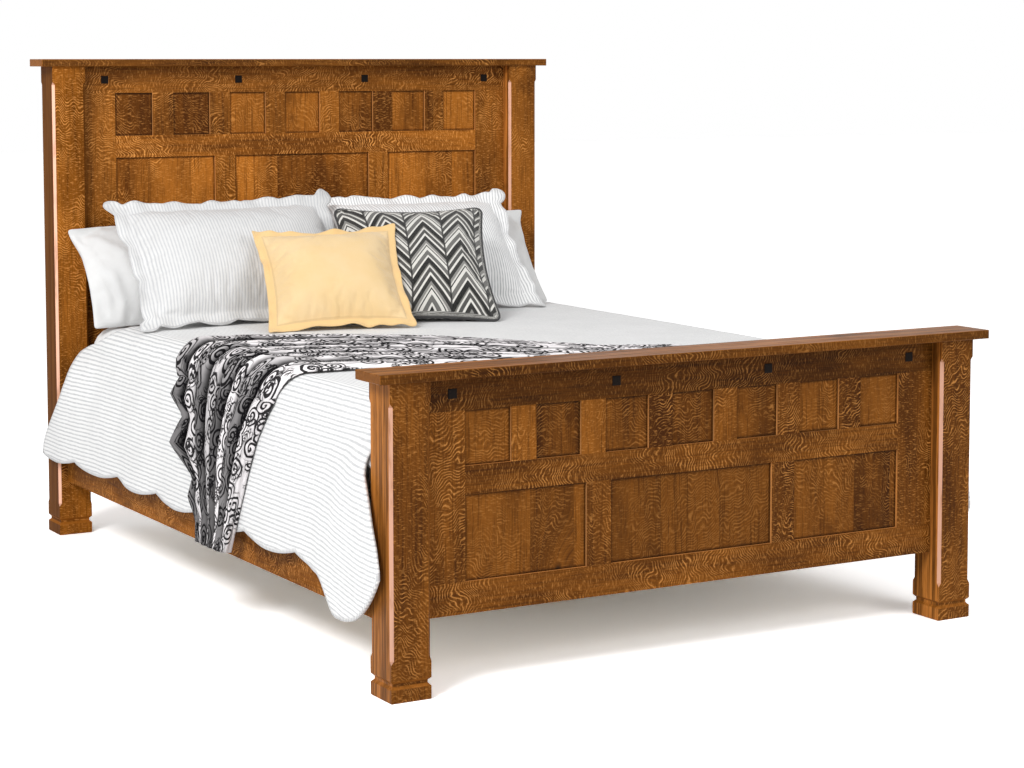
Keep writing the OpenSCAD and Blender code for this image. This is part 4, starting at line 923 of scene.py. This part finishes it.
@dataclass
class Pillow:
    """A stuffed case. at is under the middle of its bottom edge, turn its yaw, lean and roll in degrees,
    front and back its lofts, planes what it presses on, floor what it lies on in place of the quilt, corner
    how far one corner is pulled in, lobes its scallops across and up, and folds its sharper creases"""
    name: str
    at: tuple
    turn: tuple
    width: float
    height: float
    front: float
    back: float
    flange: float = 0.0
    planes: tuple = ()
    floor: float = None
    cells: int = 60
    corner: float = 0.0
    seed: float = 1.0
    slack: float = 0.03
    lobes: tuple = None
    draw: float = 0.05
    rounding: float = 0.012
    folds: tuple = ()
    crinkle: float = 1.0

    # Half the seam's thickness, the most that the filling moves a point, how softly a plane presses, the
    # room over what a pillow lies on, and the simulation's length and pressure
    SEAM, MOST_MOVED, PRESS, ROOM, FRAMES, PRESSURE = 0.0025, 0.020, 0.010, 0.0012, 18, 4.0

    def __post_init__(self):
        self.rows = max(24, int(self.cells * self.height / self.width))
        self.fu, self.fv = 1 - 2 * self.flange / self.width, 1 - 2 * self.flange / self.height

    def outline(self, u, v):
        """Where a point of the square (-1 to 1) lies in the case's outline, with round corners or lobes"""
        au, av = abs(u), abs(v)
        cu, cv = self.fu, self.fv
        if not self.lobes:
            cu, cv = 1 - 2 * self.rounding / self.width, 1 - 2 * self.rounding / self.height
        a, b = (au - cu) / (1 - cu), (av - cv) / (1 - cv)
        if a > 0 and b > 0:
            k = max(a, b) / math.hypot(a, b)
            if self.lobes:
                k *= mix(0.70, 1.48, math.sin(2 * math.atan2(b, a)) ** 0.45)
            a, b = a * k, b * k
        elif self.lobes and a > 0:
            a *= scallop(self.lobes[1], v / cv)
        elif self.lobes and b > 0:
            b *= scallop(self.lobes[0], u / cu)
        if a > 0:
            au = cu + (1 - cu) * a
        if b > 0:
            av = cv + (1 - cv) * b
        return math.copysign(au, u), math.copysign(av, v)

    def local(self, a, b, side):
        """A point of the flat case before it is stuffed: x to its right, y out of its back, z up its slope"""
        u, v = 2 * a - 1, 2 * b - 1
        puff = swell(u / self.fu) * swell(v / self.fv)
        pull = self.corner * smooth((-u - 0.6) / 0.4) * smooth((v - 0.3) / 0.7)
        u, v = self.outline(u, v)
        x = self.width / 2 * u * (1 - self.draw * (1 - min(1, v * v))) - pull
        z = self.height / 2 * (1 + v * (1 - self.draw * (1 - min(1, u * u)))) - 0.6 * pull
        loft = self.back if side > 0 else -self.front
        return Vector((x, side * self.SEAM + 0.92 * loft * puff, z))

    def shell(self):
        """Front and back of the case, joined at the seam"""
        bm = bmesh.new()
        for side in (-1, 1):
            aside = 3.0 if side > 0 else 0.0
            half = cloth_grid(self.cells, self.rows, lambda a, b: self.local(a, b, side),
                              lambda a, b: ((a - 0.5) * self.width + aside, b * self.height))
            if side > 0:
                bmesh.ops.reverse_faces(half, faces=half.faces)
            mesh = mesh_of("half", half)
            bm.from_mesh(mesh)
            bpy.data.meshes.remove(mesh)
        bmesh.ops.bridge_loops(bm, edges=[e for e in bm.edges if e.is_boundary])
        bmesh.ops.recalc_face_normals(bm, faces=bm.faces)
        return mesh_of(self.name, bm)

    def stuffed(self):
        """The case after its filling has pushed it out, by a cloth simulation with its seams held"""
        shell = self.shell()
        soft = put(self.name + "_soft", shell)
        rest = [v.co.copy() for v in shell.vertices]
        held = soft.vertex_groups.new(name="Held")
        for v in shell.vertices:
            held.add([v.index], 1.0 if abs(v.co.y) < self.SEAM + 2 * GAP else 0.0, "REPLACE")
        cloth = soft.modifiers.new("Cloth", "CLOTH")
        given(cloth.settings, quality=5, mass=0.25, tension_stiffness=14, compression_stiffness=14,
              shear_stiffness=6, bending_stiffness=0.35, use_pressure=True,
              uniform_pressure_force=self.PRESSURE, vertex_group_mass="Held", shrink_min=-self.slack,
              shrink_max=-self.slack)
        cloth.settings.effector_weights.gravity = 0
        cloth.collision_settings.use_collision = False
        for number in range(1, self.FRAMES + 1):
            bpy.context.scene.frame_set(number)
        mesh = evaluated(soft)
        bpy.data.objects.remove(soft)
        bpy.data.meshes.remove(shell)
        bpy.context.scene.frame_set(1)
        for v, start in zip(mesh.vertices, rest):
            step = v.co - start
            if step.length > self.MOST_MOVED:
                v.co = start + step * (self.MOST_MOVED / step.length)
        return mesh

    def wrinkle(self, q):
        """Small folds that the cut adds: creases that run in from the corners and along the seams"""
        u, w = q.x * 2 / self.width, q.z * 2 / self.height - 1
        inner = swell(min(1, abs(u))) * swell(min(1, abs(w)))
        fold = 0.0
        for sx in (-1, 1):
            for sz in (-1, 1):
                dx, dz = (sx - u) * self.width / 2, (sz - w) * self.height / 2
                far, angle = math.hypot(dx, dz), math.atan2(dz * sz, dx * sx)
                fade = math.exp(-far / 0.075) * smooth(far / 0.03)
                fold += math.cos(13 * angle + 2.1 * sx + self.seed) * fade
        ripple = bumpy((q.x, q.z, self.seed), 0.07, self.seed)
        push = (0.0050 * fold + 0.0026 * ripple) * (0.25 + 0.75 * inner) * self.crinkle
        for x0, z0, x1, z1, tall, wide in self.folds:
            run = Vector((x1 - x0, z1 - z0))
            t = min(1, max(0, Vector((q.x - x0, q.z - z0)).dot(run) / run.length_squared))
            away = math.hypot(q.x - x0 - run.x * t, q.z - z0 - run.y * t)
            push += tall * math.exp(-(away / wide) ** 2) * math.sin(math.pi * (0.12 + 0.80 * t))
        return push

    def flutter(self, q):
        """The flange's soft waves, out of the pillow's plane"""
        u, w = abs(q.x) * 2 / self.width, abs(q.z * 2 / self.height - 1)
        out = max((u / (1 - self.draw * (1 - w * w)) - self.fu) / (1 - self.fu),
                  (w / (1 - self.draw * (1 - u * u)) - self.fv) / (1 - self.fv), 0)
        return min(1.2, out) * 0.022 * bumpy((q.x, q.z, 0), 0.050, self.seed + 4)

    def build(self, material, body, node):
        """Stands the stuffed case in its place, creased, and flattened where it presses on something"""
        mesh = self.stuffed()
        stand, at = stance(*self.turn), Vector(self.at)
        for v in mesh.vertices:
            q = v.co.copy()
            side = 1.0 if q.y > 0 else -1.0
            q.y += side * self.wrinkle(q) * min(1, abs(q.y) / 0.02)
            if self.flange:
                q.y += self.flutter(q)
            p = at + stand @ q
            out = stand.col[1] * side
            for place, normal in self.planes:
                deep = (p - place).dot(normal) + (2 * self.SEAM if out.dot(normal) < 0 else 0.0)
                if deep > -self.PRESS:
                    p -= normal * (deep if deep > self.PRESS else (deep + self.PRESS) ** 2 / (4 * self.PRESS))
            floor = (quilt_rest(p.x) + GAP if self.floor is None else self.floor) + self.ROOM
            if p.z < floor:
                p.z = floor + (GAP if side < 0 else 0.0)
            v.co = p
        mesh.update()
        piece = add_object(self.name, mesh, body, material)
        modifier(piece, "SUBSURF", levels=1, render_levels=1)
        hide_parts(node)
        return piece


def upright_plane(y):
    """The plane of a board or a post's face, which a pillow leans on"""
    return Vector((0, y - 2 * GAP, 0)), Vector((0, 1, 0))


SQUARE_AT = (0.040, 0.349)


def press_plane(side):
    """The plane on which the two small pillows lean on each other; side is 1 for the front one, -1 for the
    other"""
    right, back, _ = stance(18.4, 44.6).col
    turn = math.radians(25)
    normal = back * math.cos(turn) + right * math.sin(turn)
    at = on_quilt(*SQUARE_AT) - back * 0.042 - right * 0.133
    return at - normal * side * 0.0027, normal * side


class BED_OT_white_pillows(bpy.types.Operator):
    """Makes the two white sleeping pillows at the headboard"""
    bl_idname = "bed.white_pillows"
    bl_label = "White sleeping pillows"

    CREASES = [(-0.330, 0.300, -0.250, 0.120, 0.009, 0.014), (-0.300, 0.320, -0.190, 0.200, 0.008, 0.015),
               (-0.295, 0.190, -0.275, 0.020, 0.009, 0.012), (-0.255, 0.170, -0.235, 0.020, 0.007, 0.012),
               (-0.215, 0.210, -0.180, 0.040, 0.006, 0.016), (-0.270, 0.330, -0.080, 0.290, 0.006, 0.018),
               (0.300, 0.280, 0.240, 0.060, 0.008, 0.015), (0.250, 0.310, 0.120, 0.240, 0.006, 0.016)]

    def execute(self, context):
        white = context.scene.bed_cloth.white
        cloth = cotton("White cotton", [c * 0.93 for c in white], [c * 0.84 for c in white], 0.0020)
        share = (0.2115 - MATTRESS_EDGE) / (CROWN_INSET - MATTRESS_EDGE)
        top = MATTRESS_TOP + GAP + SHEET_T + CROWN * share
        for k, (name, x, corner) in enumerate((("left", -0.450, 0.018), ("right", 0.450, 0.0))):
            pillow = Pillow(f"white_case_{name}", (x, 0.8785, top), (0, 34, 0), 0.660, 0.356, 0.062, 0.062,
                            planes=[upright_plane(HEAD_FACE)], floor=top + GAP, corner=corner, seed=2.0 + k,
                            crinkle=1.6, folds=self.CREASES)
            pillow.build(cloth, "bedding", f"white_pillow_{name}")
        return {"FINISHED"}


class BED_OT_shams(bpy.types.Operator):
    """Makes the two striped shams with their scalloped flanges"""
    bl_idname = "bed.shams"
    bl_label = "Striped shams"

    # Each sham's side, place, turn, seed and how light it is painted: painted shade on the left one,
    # painted light on the right one
    SHAMS = (("left", -0.373, 0.589, (3, 42.9, 1), 5.0, 0.84),
             ("right", 0.245, 0.638, (6, 44.5, 0), 6.0, 1.09))

    def execute(self, context):
        board = upright_plane(HEAD_FACE + BOARD_SETBACK)
        for name, x, y, turn, seed, ground in self.SHAMS:
            cloth = striped(f"Sham cotton {name}", context.scene.bed_cloth.sham_pitch, 0.0040, ground=ground)
            pillow = Pillow(f"striped_sham_{name}", on_quilt(x, y), turn, 0.715, 0.482, 0.092, 0.092,
                            flange=0.045, planes=[board], cells=90, seed=seed, lobes=(5, 3))
            pillow.build(cloth, "bedding", f"sham_{name}")
        return {"FINISHED"}


def chevron_cloth():
    """Nested chevrons in staggered columns, in black, greys, taupe and white"""
    f = Finish("Chevron cloth", Roughness=0.85, Sheen_Weight=0.15, Specular_IOR_Level=0.2)
    cut = f.place("UV")
    u, v, _ = f.xyz(cut)
    column_w, repeat = 0.118, 0.162
    across = (u + 0.035) / column_w
    column = f.math("FLOOR", across)
    inside = abs(f.math("FRACT", across) - 0.5)
    level = v + inside * (1.45 * column_w) + column * (0.45 * repeat) + f.hashed(column, 3.0) * 0.03
    tones = f.node("ValToRGB", f.math("FRACT", level / repeat))
    ramp = tones.socket.node.color_ramp
    ramp.interpolation = "CONSTANT"
    bands = ((0.0, 0.006), (0.15, 0.70), (0.21, 0.14), (0.34, 0.70), (0.44, 0.008), (0.475, 0.62),
             (0.52, 0.24), (0.60, 0.020), (0.72, 0.70), (0.79, 0.07), (0.90, 0.64))
    for position, grey in bands:
        element = ramp.elements[0] if position == 0 else ramp.elements.new(position)
        element.position, element.color = position, (grey, grey * 0.98, grey * 0.92, 1.0)
    last = max(ramp.elements, key=lambda element: element.position)
    last.position, last.color = 0.955, (0.16, 0.155, 0.14, 1.0)
    seam = f.step(0.5 - inside, 0.018, 0.030, 1.0, 0.0)
    base = f.mix(seam * 0.9, tones, (0.014, 0.014, 0.014))
    thread = f.stretched(cut, 900.0, 120.0, 1.0)
    return f.done(f.mix(f.step(thread, 0.35, 0.75, 0.0, 0.09), base, (0.42, 0.41, 0.39)),
                  thread + weave(f, cut, 0.0022) * 0.5, 0.0007, 0.7)


def dark_cord():
    f = Finish("Dark piping", Roughness=0.7, Sheen_Weight=0.2)
    twist = f.noise(f.place(), 500.0)
    return f.done(f.mix(twist, (0.010, 0.010, 0.011), (0.035, 0.034, 0.034)), twist, 0.0004, 0.6)


def piping(loop, radius):
    """The mesh of a sewn cord along a closed line of points"""
    curve = given(bpy.data.curves.new("piping", "CURVE"), dimensions="3D", bevel_depth=radius,
                  bevel_resolution=2)
    line = curve.splines.new("POLY")
    line.points.add(len(loop) - 1)
    for point, at in zip(line.points, loop):
        point.co = (*at, 1.0)
    line.use_cyclic_u = True
    helper = put("piping_line", curve)
    mesh = evaluated(helper)
    bpy.data.objects.remove(helper)
    mesh.materials.clear()
    return mesh


class BED_OT_chevron_pillow(bpy.types.Operator):
    """Makes the square grey pillow with dark piping"""
    bl_idname = "bed.chevron_pillow"
    bl_label = "Square patterned pillow"

    CORD = 0.0042

    def execute(self, context):
        pillow = Pillow("square_pillow", on_quilt(*SQUARE_AT), (18.6, 46.5, -0.5), 0.460, 0.460, 0.076, 0.092,
                        planes=[press_plane(-1)], seed=8.0, slack=0.02, draw=0.10, rounding=0.030)
        piece = pillow.build(chevron_cloth(), "square_pillow", "chevron_pillow")
        points, w, m = piece.data.vertices, pillow.cells + 1, pillow.rows
        # Once round the rim, on points that the front and the back share
        order = [*range(w), *range(2 * w - 1, (m + 1) * w, w), *range((m + 1) * w - 2, m * w - 1, -1),
                 *range((m - 1) * w, 0, -w)]
        loop = [(points[i].co + points[i + w * (m + 1)].co) / 2 for i in order]
        cord = piping(loop, self.CORD)
        add_object("square_pillow_piping", cord, "square_pillow", dark_cord())
        return {"FINISHED"}


class BED_OT_yellow_pillow(bpy.types.Operator):
    """Makes the pale yellow pillow with its soft flange"""
    bl_idname = "bed.yellow_pillow"
    bl_label = "Yellow pillow"

    WIDTH, HEIGHT, FLANGE = 0.434, 0.401, 0.026
    CREASES = [(-0.010, 0.030, -0.022, 0.085, 0.007, 0.008), (0.018, 0.030, 0.016, 0.072, 0.006, 0.007),
               (-0.045, 0.030, -0.060, 0.070, 0.005, 0.008), (0.050, 0.030, 0.060, 0.066, 0.004, 0.008),
               (-0.130, 0.300, 0.020, 0.322, 0.003, 0.012), (-0.150, 0.240, -0.090, 0.255, 0.003, 0.010)]

    def execute(self, context):
        yellow = context.scene.bed_cloth.yellow
        deeper = [a * b for a, b in zip(yellow, (0.98, 0.91, 0.76))]
        shade = [a * b for a, b in zip(yellow, (0.97, 0.93, 0.82))]
        cloth = cotton("Yellow cotton", yellow, shade, 0.0018, (self.WIDTH, self.HEIGHT, self.FLANGE, deeper))
        pillow = Pillow("front_pillow", on_quilt(-0.245, 0.303), (17.7, 46.8, 2.3), self.WIDTH, self.HEIGHT,
                        0.076, 0.078, flange=self.FLANGE, planes=[press_plane(1)], cells=72, seed=11.0,
                        draw=0.085, folds=self.CREASES)
        pillow.build(cloth, "front_pillow", "yellow_pillow")
        return {"FINISHED"}


# The stage

class BED_OT_stage(bpy.types.Operator):
    """Sets up the floor, the lamps and the camera"""
    bl_idname = "bed.stage"
    bl_label = "Floor, lamps and camera"

    # The camera's focal length in pixels of a picture this wide, fitted to the bed's edges
    FOCAL, PICTURE_W, SENSOR = 2368.01, 1024, 36.0
    EYE_AT, EYE_TURN = (-3.1886, -5.7317, 1.4271), (30.0885, 4.8412, 0.0456)

    def execute(self, context):
        scene, stage = context.scene, context.scene.bed_stage
        bm = bmesh.new()
        bmesh.ops.create_grid(bm, x_segments=1, y_segments=1, size=30)
        floor = put("floor", mesh_of("floor", bm))
        floor.data.materials.append(self.floor_finish())
        scene.world = bpy.data.worlds.new("Studio")
        scene.world.use_nodes = True
        sky = Nodes(scene.world.node_tree)
        even = sky.tree.nodes["Background"]
        sky.feed(even.inputs["Color"], (1, 1, 1))
        sky.feed(even.inputs["Strength"], stage.sky)
        white = sky.node("Background", (1, 1, 1))
        both = sky.node("MixShader", sky.seen(), Value(sky, even.outputs[0]), white)
        sky.feed(sky.tree.nodes["World Output"].inputs["Surface"], both)
        self.lamp("Key", (-5.2, -3.4, 5.0), (0, 0.1, 0.5), 2.6, stage.key)
        self.lamp("Fill", (1.6, -6.0, 3.2), (0, 0.2, 0.5), 3.0, stage.fill)
        eye = put("Camera", given(bpy.data.cameras.new("Camera"), sensor_width=self.SENSOR, shift_y=-0.12,
                                  lens=self.FOCAL / self.PICTURE_W * self.SENSOR, clip_end=100))
        yaw, pitch, roll = (math.radians(d) for d in self.EYE_TURN)
        turn = Matrix.Rotation(-yaw, 4, "Z") @ Matrix.Rotation(math.pi / 2 - pitch, 4, "X")
        turn = turn @ Matrix.Rotation(-roll, 4, "Z")
        given(eye, location=self.EYE_AT, rotation_euler=turn.to_euler())
        scene.camera = eye
        scene.view_settings.view_transform = "Standard"
        return {"FINISHED"}

    @staticmethod
    def floor_finish():
        f = Finish("Pale floor", Roughness=0.6, Specular_IOR_Level=0.2)
        plain = f.mix(f.noise(f.place(), 0.6), (0.86, 0.86, 0.86), (0.89, 0.89, 0.89))
        return f.done(f.mix(f.seen(), plain, (1.75, 1.75, 1.75)))

    @staticmethod
    def lamp(name, at, aim, size, power):
        lamp = put(name, given(bpy.data.lights.new(name, "AREA"), shape="DISK", size=size, energy=power))
        facing = Vector(aim) - Vector(at)
        given(lamp, location=at, rotation_euler=facing.to_track_quat("-Z", "Y").to_euler())


class BED_PT_panel(bpy.types.Panel):
    """Lists the bed's pieces and settings"""
    bl_idname = "BED_PT_panel"
    bl_label = "Bed"
    bl_space_type = "VIEW_3D"
    bl_region_type = "UI"
    bl_category = "Bed"

    def draw(self, context):
        for step in STEPS:
            self.layout.operator(step.bl_idname)
        for key in GROUPS:
            group, box = getattr(context.scene, key), self.layout.box()
            for setting in group.__annotations__:
                box.prop(group, setting)


STEPS = (BED_OT_finish_frame, BED_OT_mattress_set, BED_OT_quilt, BED_OT_throw, BED_OT_white_pillows,
         BED_OT_shams, BED_OT_chevron_pillow, BED_OT_yellow_pillow, BED_OT_stage)
GROUPS = {"bed_oak": BedOak, "bed_cloth": BedCloth, "bed_stage": BedStage}


def register():
    for made in (*GROUPS.values(), *STEPS, BED_PT_panel):
        bpy.utils.register_class(made)
    for key, group in GROUPS.items():
        setattr(bpy.types.Scene, key, bpy.props.PointerProperty(type=group))


def unregister():
    for key in GROUPS:
        delattr(bpy.types.Scene, key)
    for made in reversed((*GROUPS.values(), *STEPS, BED_PT_panel)):
        bpy.utils.unregister_class(made)


def main():
    register()
    for step in STEPS:
        family, action = step.bl_idname.split(".")
        if getattr(getattr(bpy.ops, family), action)() != {"FINISHED"}:
            raise RuntimeError(f"{step.bl_label} couldn't finish")


if __name__ == "__main__":
    main()
